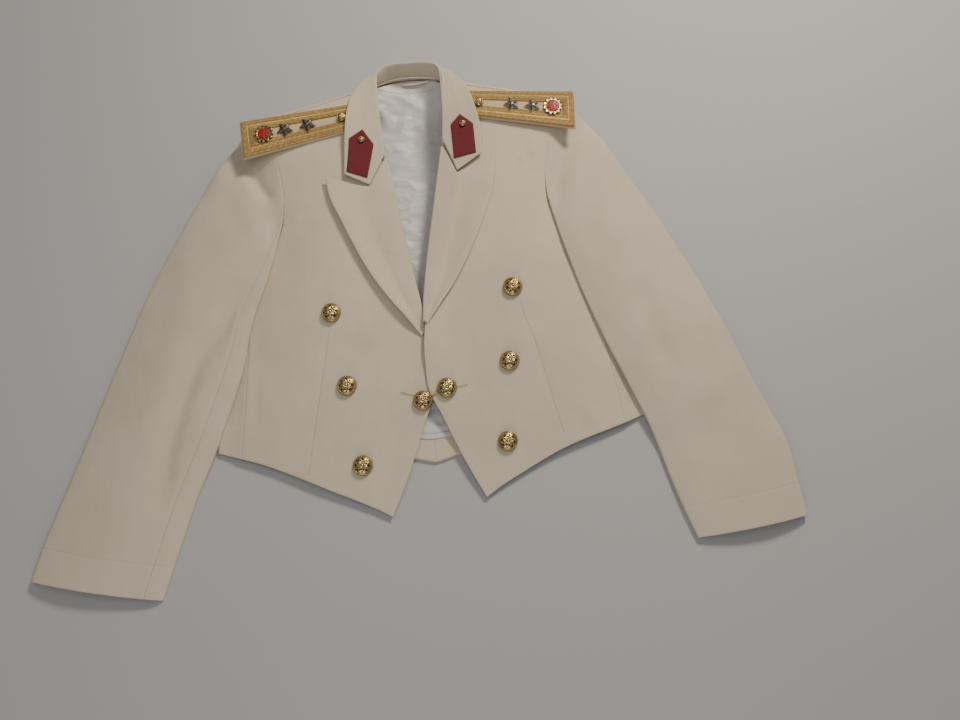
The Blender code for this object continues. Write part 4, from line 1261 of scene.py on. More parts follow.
@dataclass
class Sleeve:
    """A sleeve laid flat beside the body: an upper and an under piece."""

    side: Side
    rows: tuple[SleeveRow, ...]
    hind_seam: float
    creases: tuple[Crease, ...]
    steps: int = 14
    seam_gap: float = 0.1
    climb_from: float = 356.0
    climb_to: float = 331.0
    body_gap: float = 1.4
    wall: float = 1.8
    upper_angles: tuple[Place, Place] = ((94, 101, 135), (135, 116, 106))
    lower_angles: tuple[Place, Place] = ((86, 78, 45), (45, 64, 74))

    def lift(self, x: float, y: float) -> float:
        """Height of the under piece: on the floor, or over the side of the body."""
        climbs = ease((self.climb_from - y) / (self.climb_from - self.climb_to))
        support = LAY.height(x, y)
        return float((support + self.body_gap * ease(support / 4)) * climbs * ease((y + 10) / 50))

    def top_height(self, row: SleeveRow, share: float, inward: float) -> float:
        """Height of the upper piece, which starts on the front's own edge at the armhole."""
        width, fold = row.width, ARMHOLE.fold_radius
        start = row.outer_r * 2 + self.lift(*row.across(0.0))
        end = fold * (1.2 + 0.8 * ease((share - 0.22) / 0.3)) + self.lift(*row.across(width - fold))
        span = float(np.clip((inward - row.outer_r) / (width - row.outer_r - fold), 0, 1))
        ring = between(start, end, span) + row.loft * math.sin(math.pi * span) ** 0.8
        seam = LAY.height(*row.across(inward)) + 1.2 * fold * ease((span - 0.72) / 0.28)
        return float(between(seam, ring, ease(share / 0.09)))

    def curve(
        self, row: SleeveRow, share: float, angle: float, inner: bool = False
    ) -> tuple[float, float, float]:
        """A point of the outer curve or the inner fold.

        Args:
            row: The section.
            share: Its place down the sleeve.
            angle: 0 below, 90 at the side and 180 above.
            inner: Whether the point is on the inner fold.

        Returns:
            The point.
        """
        turn = math.radians(angle)
        radius = ARMHOLE.fold_radius if inner else row.outer_r
        start = row.width - radius if inner else radius
        side = radius * math.sin(turn)
        x, y = row.across(start + side if inner else start - side)
        low = self.lift(*row.across(start))
        top = self.top_height(row, share, start)
        return x, y, low + (top - low) * (1 - math.cos(turn)) / 2

    def section(self, row: SleeveRow, share: float, upper: bool) -> Array:
        """Half of a section, from its outermost point to its innermost one.

        Args:
            row: The section.
            share: Its place down the sleeve.
            upper: Whether it is the upper half.

        Returns:
            The half's points.
        """
        outside, inside = self.upper_angles if upper else self.lower_angles
        steps = ARMHOLE.top_steps if upper else ARMHOLE.low_steps
        points = [self.curve(row, share, angle) for angle in outside]
        for inward in ARMHOLE.shares(row.width, row.outer_r, steps) * row.width:
            x, y = row.across(inward)
            points.append((x, y, self.top_height(row, share, inward) if upper else self.lift(x, y)))
        return np.array(points + [self.curve(row, share, angle, inner=True) for angle in inside])

    def grids(self) -> tuple[Array, Array]:
        """Coarse grids of the upper and under piece, which meet at the hind seam if it shows."""
        table = np.array([astuple(row) for row in self.rows])
        knots = lengths((table[:, 0:2] + table[:, 2:4]) / 2)
        shares = even(self.steps) ** 1.1
        upper, under = [], []
        for share, values in zip(shares, smooth_values(knots, table, shares * knots[-1])):
            row = SleeveRow(*(float(value) for value in values))
            top, low = self.section(row, share, True), self.section(row, share, False)[::-1]
            if self.hind_seam:
                at = lengths(top)
                hind = 11.0 + (self.hind_seam - 11.0) * float(ease(share / 0.35))
                end = at[-1] - hind
                last = min(at[10], end - 1.0 - 0.15 * hind)
                strip = np.array([end + self.seam_gap, (end + at[-1]) / 2])
                kept = np.concatenate([at[:11] * last / at[10], [end]])
                low = np.concatenate([self.cut_line(top, strip), low[1:]])
                top = self.cut_line(top, kept)
            upper.append(top)
            under.append(low)
        grids = np.array(upper), np.array(under)
        for grid in grids:
            grid[0, :, 0] += ARMHOLE.gap
            grid[..., 0] *= self.side.value
        return LAY.settled(grids[0]), LAY.settled(grids[1])

    @staticmethod
    def cut_line(points: Array, at: Array) -> Array:
        """Points at lengths along a section's line."""
        knots = lengths(points)
        return np.stack([np.interp(at, knots, column) for column in points.T], axis=-1)

    def build(self) -> None:
        """Makes and dresses both pieces."""
        for which, grid in zip(("top", "under"), self.grids()):
            ClothPiece(
                f"sleeve_{which}_{self.side.word}",
                grid[::-1],
                self.wall,
                SHADED_SLEEVE_CLOTH,
                flip=self.side is Side.LEFT,
                creases=self.creases if which == "top" else (),
                edge_drop=0.3,
            ).build().dress()


LEFT_SLEEVE = Sleeve(
    Side.LEFT,
    (
        SleeveRow(215, 484, 176, 327, 15, 20, 0),
        SleeveRow(244, 448, 181, 300, 10, 16.5, 5),
        SleeveRow(279, 385, 192, 250, 5, 12, 8),
        SleeveRow(319, 308, 212, 178, 1, 8.5, 11),
        SleeveRow(358, 219, 231, 122, 0, 6.5, 12),
        SleeveRow(390, 131, 254, 60, 0, 5.5, 12),
        SleeveRow(414, 50, 272, 8, 0, 5, 11),
        SleeveRow(434, -2, 282, -34, 0, 5, 10),
        SleeveRow(438, -40, 290, -68, 0, 5, 9.5),
        SleeveRow(443, -106, 306, -120, -2, 5, 8),
    ),
    hind_seam=0.0,
    creases=(
        Crease(((223, 448), (198, 382), (182, 317)), 9, -3.4),
        Crease(((196, 425), (183, 388), (177, 359)), 6, -1.8),
        Crease(((243, 425), (222, 372), (203, 300)), 11, 1.8),
        Crease(((262, 380), (232, 300), (226, 232)), 14, -1.8),
        Crease(((282, 223), (287, 154), (306, 72)), 15, -3.6),
        Crease(((307, 73), (326, 33), (383, 34)), 15, -1.0),
        Crease(((318, 106), (352, 64), (402, 70)), 18, 0.9),
        Crease(((300, 20), (330, 2), (352, 8)), 14, -0.7),
        Crease(((350, 180), (375, 110), (398, 40)), 16, 1.6),
    ),
)
RIGHT_SLEEVE = Sleeve(
    Side.RIGHT,
    (
        SleeveRow(215, 484, 176, 327, 15, 20, 0),
        SleeveRow(246, 452, 183, 300, 10, 16.5, 5),
        SleeveRow(282, 396, 197, 253, 5, 12, 8),
        SleeveRow(318, 334, 218, 200, 1, 8.5, 11),
        SleeveRow(357, 256, 232, 140, 0, 6.5, 12),
        SleeveRow(389, 176, 250, 90, 0, 5.5, 12),
        SleeveRow(420, 96, 270, 38, 0, 5, 11),
        SleeveRow(448, 20, 294, -14, 0, 5, 10),
        SleeveRow(474, -46, 314, -72, 0, 5, 9.5),
        SleeveRow(489, -94, 334, -131, -2, 5, 8),
    ),
    hind_seam=23.0,
    creases=(
        Crease(((-216, 415), (-207, 389), (-194, 369), (-181, 363)), 8.5, -5.2),
        Crease(((-232, 432), (-222, 392), (-200, 352), (-186, 346)), 9, 1.6),
        Crease(((-252, 420), (-240, 352), (-214, 292)), 14, -1.6),
        Crease(((-393, -32), (-348, 85), (-312, 198), (-294, 408)), 24, 2.8),
        Crease(((-221, 244), (-255, 193), (-288, 151), (-321, 61), (-344, -45)), 13, -6.5),
        Crease(((-208, 188), (-255, 114), (-286, 29), (-307, -52)), 11, 2.6),
        Crease(((-386, 60), (-352, 40), (-320, 52)), 16, -1.0),
        Crease(((-420, -10), (-392, -34), (-350, -30)), 14, -0.5),
    ),
)


# Body


@dataclass
class BackRow:
    """A row of the back: its centre, and the point below the neck point."""

    centre_y: float
    centre_z: float
    neck_x: float
    neck_y: float
    neck_z: float


@dataclass
class Body:
    """Back, fronts and side bodies."""

    free_edge: tuple[Point, ...] = (
        (58, -54), (46, -30), (38, -12), (30, 5), (15, 43), (2, 80), (0.8, 125), (3.4, 168),
    )
    roll_line: tuple[Point, ...] = (
        (3.4, 168), (3.8, 197), (9.5, 235), (17, 280), (24.5, 322), (31, 362), (39, 408),
    )
    neck_edge: tuple[Point, ...] = ((39, 408), (49, 436), (55, 470), (66, 506))
    front_hem: tuple[Point, ...] = (
        (58, -54), (76, -43), (118, -22), (165, 0), (206, 16), (239, 27),
    )
    front_side: tuple[Point, ...] = (
        (239, 27), (235, 65), (231, 112), (227, 166), (225, 220), (224, 262),
    )
    low_armhole: tuple[Point, ...] = ((224, 262), (203, 273), (186, 300), (176, 327))
    hem_bow: float = 1.0
    front_lies: Mapping[Side, Place] = field(
        default_factory=lambda: {Side.LEFT: (2.6, -3.5, 6.5), Side.RIGHT: (-1.0, 3.0, 0.0)}
    )
    over_reach: float = 45.0
    edge_reach: float = 30.0
    over_at: tuple[float, ...] = (35, 40, 200, 120)
    lap_at: tuple[float, ...] = (62, 25, 148, 45)
    stand_at: tuple[float, ...] = (100, 25, 165, 40)
    back_rows: tuple[BackRow, ...] = (
        BackRow(0, 0, 90, 24, 0),
        BackRow(60, 0, 90, 76, 0),
        BackRow(120, 0, 90, 128, 0),
        BackRow(180, 0, 90, 184, 0),
        BackRow(240, 0, 90, 242, 0),
        BackRow(290, 0, 88, 288, 0),
        BackRow(335, 0, 84, 330, 0),
        BackRow(365, 0, 80, 358, 0),
        BackRow(395, 0, 76, 386, 0),
        BackRow(425, 0, 72, 413, 0),
        BackRow(455, 0, 69, 440, 0),
        BackRow(487, 0, 66, 467, 0),
        BackRow(515, 0, 65, 491, 0),
        BackRow(534, 1.5, 66, 507, 4),
        BackRow(542, 5.0, 68, 515, 16),
        BackRow(545, 9.0, 69, 515, 32),
        BackRow(545.5, 11.5, 68, 512.5, 42),
        BackRow(545, 13, 66, 506, 45),
    )
    back_side: tuple[Point, ...] = (
        (235, 36), (234.2, 88), (233, 141), (232, 193), (231, 246), (203, 282),
    )
    side_fold_x: float = 269.0
    side_fold_y: Point = (36.5, 252.0)
    seam_gap: float = 0.3
    wall: float = 1.8
    edge_steps: int = 8
    neck_steps: int = 5
    side_steps: int = 10
    across_steps: int = 10
    neck_columns: int = 4
    side_columns: int = 5
    left_creases: tuple[Crease, ...] = (
        Crease(((142, 395), (150, 379)), 5, 1.0),
        Crease(((168, 418), (161, 389)), 5, 0.9),
        Crease(((152, 410), (156, 372), (150, 340)), 8, -1.0),
        Crease(((190, 60), (199, 34), (203, 14)), 6, 1.2),
        Crease(((176, 52), (184, 26), (186, 6)), 6, -1.1),
        Crease(((121, 190), (137, 139), (160, 30)), 5, -0.8),
        Crease(((60, 150), (110, 172), (170, 160)), 16, -1.1),
        Crease(((150, 290), (185, 262), (212, 240)), 12, -1.4),
    )
    right_creases: tuple[Crease, ...] = (
        Crease(((-157, 329), (-127, 340), (-111, 344)), 7, -1.4),
        Crease(((-119, 180), (-131, 126), (-155, 10)), 5, -0.8),
        Crease(((-60, 140), (-108, 158), (-165, 150)), 16, -1.0),
        Crease(((-152, 300), (-188, 268), (-212, 236)), 12, -1.3),
        Crease(((-208, 200), (-216, 120), (-222, 50)), 8, -0.9),
    )

    def front_edges(self) -> tuple[Array, Array, Array, Array]:
        """The four edges of a front in the pattern."""
        free = along_curve(self.free_edge, even(self.edge_steps))
        roll = along_curve(self.roll_line, even(self.edge_steps))
        neck = along_curve(self.neck_edge, even(self.neck_steps))
        inner = np.concatenate([free, roll[1:], neck[1:]])
        seam = along_curve(self.front_side, even(self.side_steps))
        low = along_curve(self.low_armhole, even(3))
        outer = np.concatenate([seam, low[1:], ARMHOLE.line(ARMHOLE.top_steps)])
        hem = along_curve(self.front_hem, even(self.across_steps))
        shoulder = along_curve([inner[-1], outer[-1]], even(self.across_steps), straight=True)
        return hem, shoulder, inner, outer

    def front_point(self, x: Array, y: Array, side: Side) -> Array:
        """Right side of a front at points of the pattern, with the left over the right one."""
        x, y = np.asarray(x, float), np.asarray(y, float)
        over, lap, stand = self.front_lies[side]
        near_edge = 1 - ease(x / self.edge_reach)
        over = over * window(y, *self.over_at) * (1 - ease(x / self.over_reach))
        height = LAY.height(x, y) + over + stand * window(y, *self.stand_at) * near_edge
        lap = lap * window(y, *self.lap_at) * near_edge
        out_x, out_y = LAY.lie(x, y, side)
        return np.stack([out_x + lap, out_y, height], axis=-1)

    def front(self, side: Side) -> ClothPiece:
        """A front, with its dart and hem."""
        flat = patch_between(*self.front_edges())
        return ClothPiece(
            f"front_{side.word}",
            LAY.settled(self.front_point(flat[..., 0], flat[..., 1], side)),
            self.wall,
            FRONT_CLOTH,
            flip=side is Side.RIGHT,
            creases=self.left_creases if side is Side.LEFT else self.right_creases,
            edge_drop=0.45,
            rests_on=("back_lining_cloth",),
        )

    def back(self, side: Side, head: Callable[[float], Sequence[float]]) -> ClothPiece:
        """Half of the back: flat below, and turned over the shoulder to its seam.

        Args:
            side: Which half.
            head: A point of the sleeve head at an angle.

        Returns:
            The piece.
        """
        low_side = [(x, y, 0.0) for x, y in ARMHOLE.line(ARMHOLE.low_steps)]
        low_side[0] = (low_side[0][0] - 3, low_side[0][1] - 4, 0.0)
        turned = [head(angle) for angle in (45, 90, 130, 160, 180)]
        sides = np.array([(x, y, 0.0) for x, y in self.back_side] + low_side + turned)
        sides[len(self.back_side) :, 0] -= self.seam_gap
        rows = []
        for number, (row, edge) in enumerate(zip(self.back_rows, sides)):
            centre = np.array([self.seam_gap, row.centre_y, row.centre_z])
            neck = np.array([row.neck_x, row.neck_y, row.neck_z])
            bow = 2.0 if number else self.hem_bow
            inner = even(self.neck_columns)[:, None] ** np.array([1.0, bow, 2.0])
            outer = even(self.side_columns)[1:, None]
            rows.append(np.concatenate([between(centre, neck, inner), between(neck, edge, outer)]))
        grid = np.array(rows)
        seam = grid[-1, self.neck_columns :]
        seam[:, 2] = LAY.height(seam[:, 0], seam[:, 1])
        seam[:, 1] += 4 * self.seam_gap
        grid[-1, self.neck_columns :] = seam
        grid[..., 0] *= side.value
        return ClothPiece(
            f"back_{side.word}",
            LAY.settled(grid),
            self.wall,
            PLAIN_CLOTH,
            flip=side is Side.LEFT,
            spacing=4.5,
            edge_drop=0.0,
        )

    def side_body(self, side: Side) -> ClothPiece:
        """The panel under the arm: over, round the side of the jacket, and under."""
        levels = even(self.side_steps)
        front_seam = along_curve(self.front_side, levels)
        back_seam = along_curve(self.back_side[:5], levels)
        rows = []
        for share, front, back in zip(levels, front_seam, back_seam):
            fold_y = between(*self.side_fold_y, share)
            top_z = float(LAY.height(self.side_fold_x - 6, fold_y))
            radius = top_z / 2
            start, end = front[0] + self.seam_gap, self.side_fold_x - radius
            row = []
            for step in even(3):
                x, y = between(start, end, step), between(front[1], fold_y, step)
                row.append((x, y, between(float(LAY.height(x, y)), top_z, step)))
            for turn in np.radians((60, 90, 120, 180)):
                row.append((end + radius * math.sin(turn), fold_y, radius * (1 + math.cos(turn))))
            for step in (0.5, 1.0):
                x = between(end, back[0] + self.seam_gap, step)
                row.append((x, between(fold_y, back[1], step), 0.0))
            rows.append(row)
        grid = np.array(rows)
        x, y = LAY.lie(grid[..., 0], grid[..., 1], side)
        grid[..., 1] += (y - grid[..., 1]) * ease(grid[..., 2] / 6)
        grid[..., 0] = x
        return ClothPiece(
            f"side_body_{side.word}",
            grid,
            self.wall,
            SHADED_SLEEVE_CLOTH,
            flip=side is Side.RIGHT,
            edge_drop=0.4,
        )

    def neck_seam(self, side: Side) -> Array:
        """Foot of the collar's half, from the centre back round to the roll of the lapel."""
        t = even(4)
        last = self.back_rows[-1]
        back = np.stack(
            [
                last.neck_x * t,
                between(last.centre_y, last.neck_y, t**2) + self.seam_gap,
                between(last.centre_z, last.neck_z, t**2) + 4 * self.seam_gap,
            ],
            axis=-1,
        )
        back[:, 0] *= side.value
        neck = along_curve(self.neck_edge, even(self.neck_steps))[::-1][1:]
        front = self.front_point(neck[:, 0], neck[:, 1], side)
        front[:, 0] -= side.value * self.seam_gap
        back[-1, 0] -= side.value * self.seam_gap
        return np.concatenate([back, front])


@dataclass
class Lapel:
    """A peaked lapel, rolled over from the front's edge and laid on the chest."""

    side: Side
    body: Body
    lift: float
    edge: tuple[Point, ...]
    top: tuple[Point, ...]
    foot: tuple[Point, ...] = ((6, 165), (14, 178), (27, 197), (46, 222), (66, 256), (83, 292))
    across_steps: int = 6
    layer_gap: float = 1.0
    roll_gap: float = 1.0
    wall: float = 1.8

    def grid(self) -> Array:
        """Coarse grid of the lapel, with its roll in the first four columns."""
        steps, side = self.body.edge_steps, self.side
        roll = along_curve(self.body.roll_line, even(steps))
        edge = along_curve(self.foot + self.edge + self.top[2:], even(steps))
        gorge = along_curve(self.top[:2], even(2), straight=True)
        peak = along_curve(self.top[1:], even(self.across_steps - 2), straight=True)
        top = np.concatenate([gorge, peak[1:]])
        bottom = along_curve([roll[0], edge[0]], even(self.across_steps), straight=True)
        edge[-1] = top[-1]
        flat = patch_between(bottom, top, roll, edge)
        laid = self.body.front_point(flat[..., 0], flat[..., 1], side)
        out = even(self.across_steps)[None, :]
        up = even(steps)[:, None]
        width = np.linalg.norm(flat[:, -1] - flat[:, 0], axis=-1)[:, None]
        lift = self.lift * ease((out - 0.45) / 0.55) * ease(width / 24) * (1 - 0.4 * up)
        swell = 1.2 * np.sin(math.pi * np.clip(out / 0.5, 0, 1)) * ease(width / 60)
        laid[..., 2] += self.layer_gap + self.wall + lift + swell
        fold = self.body.front_point(roll[:, 0], roll[:, 1], side)
        radius = (self.layer_gap + 2 * self.wall) / 2
        curl = []
        for turn in np.radians((-90, -135, 180, 135)):
            point = fold + (0, 0, radius - self.wall)
            point[:, 0] += side.value * (radius * math.cos(turn) - self.roll_gap)
            point[:, 2] += radius * math.sin(turn)
            curl.append(point)
        return LAY.settled(np.concatenate([np.stack(curl, axis=1), laid], axis=1))

    def piece(self) -> ClothPiece:
        """The lapel as a piece of cloth, sharp at the notch."""
        return ClothPiece(
            f"lapel_{self.side.word}",
            self.grid(),
            self.wall,
            PLAIN_CLOTH,
            flip=self.side is Side.RIGHT,
            spacing=2.6,
            kink=6,
            kink_share=lambda share: ease((share - 0.7) / 0.25),
            lie=Lie.FOLDED,
            rests_on=(f"front_{self.side.word}_cloth",),
        )


LAPEL_FORMS = {
    Side.LEFT: (5.5, ((96, 325), (103.5, 355)), ((39, 410), (55.5, 367.6), (107.7, 390.5))),
    Side.RIGHT: (8.5, ((97.5, 324), (110, 352)), ((39, 410), (60, 371.0), (117, 383.3))),
}


COLLAR_ENDS = {
    Side.LEFT: ((90, 390.4), (55.5, 368.8)),
    Side.RIGHT: ((92, 388), (60, 372.2)),
}


@dataclass
class Collar:
    """The collar, in rows of a point of its fold and one of its free edge."""

    body: Body
    rows: tuple[tuple[Place, Place], ...] = (
        ((0, 549, 41), (0, 558, 5)),
        ((17, 549, 41), (18, 558, 6)),
        ((33, 545, 43), (35, 554, 12)),
        ((41, 536, 46), (49, 543, 28)),
        ((43, 519, 50), (64, 523, 45)),
        ((43, 498, 53.5), (76, 502, 54)),
        ((43, 476, 56.5), (82, 479, 59.5)),
        ((42, 452, 55.5), (87, 455, 59.5)),
        ((40.5, 430, 53), (90.5, 427, 55)),
        ((39, 412, 50.3), (91.5, 390, 50.5)),
    )
    fall: tuple[float, ...] = (0.14, 0.31, 0.48, 0.74, 1.0)
    end_drop: float = 5.0
    wall: float = 2.2

    def grid(self) -> Array:
        """Coarse grid: up from the neck seam, over the fold and out to the free edge."""
        rows = {}
        for side in Side:
            corner, notch = COLLAR_ENDS[side]
            seam = self.body.neck_seam(side)
            for number, ((fold, edge), foot) in enumerate(zip(self.rows, seam)):
                last = number == len(self.rows) - 1
                fold = np.array([*LAY.lie(*fold[:2], side), fold[2]])
                edge = np.array([*LAY.lie(*(corner if last else edge[:2]), side), edge[2]])
                way = (edge - fold)[:2] / np.linalg.norm((edge - fold)[:2])
                inside = fold - (*(way * 3.4), 0.6)
                stand = bent(foot, inside, fold, np.array([0.0, 0.35, 0.65, 0.86, 1.0]))
                reach = fold + (edge - fold) * (0.55, 0.55, 0.0)
                fall = bent(fold, reach, edge, np.array(self.fall))
                if last:
                    share = np.interp(self.fall, (0, self.fall[2], 1.0), (0, 1, 0))[:, None]
                    run = np.array(LAY.lie(*notch, side)) - fall[2, :2]
                    fall += share * (*run, -self.end_drop)
                rows[side.value * number] = np.concatenate([stand, fall])
        return LAY.settled(np.array([rows[number] for number in sorted(rows)]))

    def piece(self) -> ClothPiece:
        """The collar as a piece of cloth, sharp where its ends meet the lapels' notches."""
        return ClothPiece(
            "collar",
            self.grid(),
            self.wall,
            PLAIN_CLOTH,
            flip=True,
            spacing=2.6,
            kink=7,
            kink_share=lambda share: ease((np.abs(share * 2 - 1) - 0.8) / 0.15),
            lie=Lie.FOLDED,
            rests_on=("front_left_cloth", "front_right_cloth"),
        )


@dataclass(frozen=True)
class Wrinkle:
    """A broad fold of the lining: its middle, length, width, way and height."""

    x: float
    y: float
    length: float
    width: float
    turn: float
    height: float


@dataclass
class Lining:
    """The back's lining, the hem turned up below it, and the hanger loop."""

    body: Body
    half_width: float = 150.0
    across_steps: int = 12
    up_steps: int = 16
    lap: float = 4.0
    step: float = 2.1
    top_y: float = 541.0
    top_half: float = 48.0
    low_z: float = 3.6
    top_z: float = 11.5
    wall: float = 1.0
    turn_top: float = 34.0
    hem_slope: float = 0.083
    wrinkles: tuple[Wrinkle, ...] = (
        Wrinkle(-14, 470, 90, 16, 70, 3.0),
        Wrinkle(22, 430, 120, 14, 100, 2.6),
        Wrinkle(0, 360, 80, 12, 60, 2.2),
        Wrinkle(14, 290, 110, 12, 84, 2.4),
        Wrinkle(-60, 250, 120, 22, 95, 3.0),
    )
    creases: tuple[Crease, ...] = (
        Crease(((-27, 528), (3, 509), (34, 486)), 6, 2.6),
        Crease(((-23, 485), (8, 474), (27, 456)), 6, 2.4),
        Crease(((-32, 450), (-13, 432), (0, 408), (16, 399)), 7, 2.6),
        Crease(((-22, 391), (1, 377), (21, 379)), 5, 1.8),
        Crease(((-18, 353), (1, 339), (15, 342)), 5, 1.7),
        Crease(((-23, 323), (2, 306)), 5, 1.5),
        Crease(((-40, 503), (-28, 469)), 6, 1.8),
        Crease(((14, 400), (10, 313), (8, 200)), 2.6, 1.7),
        Crease(((20, 395), (16, 313), (13, 200)), 3.4, -1.2),
        Crease(((-10, 420), (-14, 340), (-10, 280)), 9, -1.6),
        Crease(((-36, 500), (-12, 486), (10, 462)), 8, -1.8),
        Crease(((-60, 90), (0, 82), (60, 92)), 8, 1.4),
    )
    loop_x: float = 14.0
    loop_y: float = 532.5
    loop_half: float = 19.5
    loop_width: float = 3.2
    loop_arch: float = 3.4
    loop_wall: float = 0.9
    loop_columns: int = 15

    def hem_line(self, x: Array) -> Array:
        """The back's hem, which rises to both sides of its point."""
        row = self.body.back_rows[0]
        out = np.abs(x)
        near = between(row.centre_y, row.neck_y, (out / row.neck_x) ** self.body.hem_bow)
        return np.where(out > row.neck_x, row.neck_y + (out - row.neck_x) * self.hem_slope, near)

    def turn_edge(self, x: Array) -> Array:
        """Top edge of the turned-up hem."""
        return self.turn_top + 0.5 * self.hem_line(x)

    def lining_grid(self) -> Array:
        """Coarse grid of the lining, which faces up, with its broad folds."""
        across = np.linspace(-1, 1, self.across_steps + 1)[None, :]
        up = even(self.up_steps)[:, None]
        neck = ease((up - 0.84) / 0.16)
        half = between(self.half_width, self.top_half, ease((up - 0.6) / 0.4))
        x = half * across
        foot = self.turn_edge(x) - self.lap
        rise = (x / self.body.back_rows[-1].neck_x) ** 2 * neck
        y = foot + (self.top_y - foot) * up - 38 * rise
        low = self.low_z + self.step * (1 - ease((y - foot - 8) / 25))
        z = low + (self.top_z - self.low_z) * neck**1.3 + 32 * rise
        for fold in self.wrinkles:
            turn = math.radians(fold.turn)
            along = (x - fold.x) * math.cos(turn) + (y - fold.y) * math.sin(turn)
            off = -(x - fold.x) * math.sin(turn) + (y - fold.y) * math.cos(turn)
            z = z + fold.height * bell(along, 0, fold.length / 2) * bell(off, 0, fold.width / 2)
        return LAY.settled(np.stack([x + 0 * up, y, z], axis=-1))

    def turn_grid(self) -> Array:
        """Coarse grid of the hem turned up inside the back."""
        x = np.linspace(-self.half_width, self.half_width, self.across_steps + 1)
        up = even(2)[:, None]
        low = self.hem_line(x) + 1.0
        y = low + (self.turn_edge(x) - low) * up
        return np.stack([x + 0 * up, y, self.body.wall * 2 + 0.5 + 0 * y], axis=-1)

    def build(self) -> None:
        """Makes and dresses the lining, the turned-up hem and the hanger loop."""
        lining = ClothPiece(
            "back_lining",
            self.lining_grid(),
            self.wall,
            LINING_SATIN,
            slot="white_lining",
            spacing=3.0,
            creases=self.creases,
            pinned=6.0,
            edge_drop=0.4,
            rumpled=False,
            rests_on=("back_left_cloth", "back_right_cloth"),
            with_pieces=("hanger_loop",),
        ).build()
        self.hanger_loop(lining.surface.tree())
        lining.dress()
        ClothPiece(
            "hem_turn",
            self.turn_grid(),
            self.body.wall,
            FACING_CLOTH,
            edge_drop=0.8,
            rumpled=False,
            kink=6,
            kink_share=np.ones_like,
            lie=Lie.FOLDED,
            rests_on=("back_left_cloth", "back_right_cloth"),
        ).build().dress()

    def hanger_loop(self, tree: BVHTree) -> None:
        """A short tape across the top of the lining, with its ends stitched down."""
        across = np.linspace(-1, 1, self.loop_columns)[None, :]
        up = np.linspace(-0.5, 0.5, 3)[:, None]
        x = self.loop_x + self.loop_half * across + 0 * up
        y = self.loop_y + self.loop_width * up + 1.5 * across**2
        grid = np.array([[set_down(tree, *place)[0] for place in zip(*row)] for row in zip(x, y)])
        grid[..., 2] += self.loop_wall + 0.3 + self.loop_arch * (1 - across**4)
        surface = Surface.woven(grid, 1.2)
        surface.round_edges(0.3, 1.0)
        show(surface.walled("hanger_loop", self.loop_wall), LOOP_TAPE, "white_lining")


# Small metal pieces


def marked_mesh(
    name: str,
    points: Sequence[Sequence[float]],
    faces: Sequence[Sequence[int]],
    smooth: bool = False,
) -> bpy.types.Mesh:
    """A mesh in metres whose second UV number is a mark of each point.

    Args:
        name: Name of the mesh.
        points: Its points in millimetres, each followed by its mark.
        faces: Its faces, as numbers of points.
        smooth: Whether its faces of three or four corners are shaded smooth.

    Returns:
        The mesh.
    """
    mesh = bpy.data.meshes.new(name)
    mesh.from_pydata([(x * MM, y * MM, z * MM) for x, y, z, _ in points], [], faces)
    layer = mesh.uv_layers.new(name="UVMap")
    for loop in mesh.loops:
        layer.data[loop.index].uv = (0.5, points[loop.vertex_index][3])
    for face in mesh.polygons:
        face.use_smooth = smooth and len(face.vertices) < 5
    return mesh


@dataclass
class Relief:
    """A struck round piece: a polar height field over a flat base."""

    name: str
    radius: float
    height: Callable[[Array, Array], Array]
    rings: int = 26
    spokes: int = 72
    base_share: float = 0.86
    centre_mark: float = 0.9
    base_mark: float = 0.2

    def mesh(self) -> bpy.types.Mesh:
        """The closed mesh, with its relief in the second UV number."""
        share = even(self.rings)[1:, None] ** 0.85
        turn = (2 * math.pi * np.arange(self.spokes) / self.spokes)[None, :]
        rise = self.height(share, turn)
        relief = np.clip(0.5 + (rise - rise.mean(axis=1, keepdims=True)) * 1.6, 0, 1)
        x, y = share * np.cos(turn) * self.radius, share * np.sin(turn) * self.radius
        top = float(self.height(np.zeros((1, 1)), np.zeros((1, 1)))[0, 0])
        points = [(0.0, 0.0, top, self.centre_mark)]
        points += np.stack([x, y, rise, relief], axis=-1).reshape(-1, 4).tolist()
        foot = self.base_share
        points += [(a * foot, b * foot, 0.0, self.base_mark) for a, b in zip(x[-1], y[-1])]
        faces = []
        for spoke in range(self.spokes):
            after = (spoke + 1) % self.spokes
            faces.append((0, 1 + spoke, 1 + after))
            for row in range(self.rings):
                inner = 1 + row * self.spokes
                outer = inner + self.spokes
                faces.append((inner + spoke, outer + spoke, outer + after, inner + after))
        base = 1 + self.rings * self.spokes
        faces.append(range(base + self.spokes - 1, base - 1, -1))
        return marked_mesh(self.name, points, faces, smooth=True)


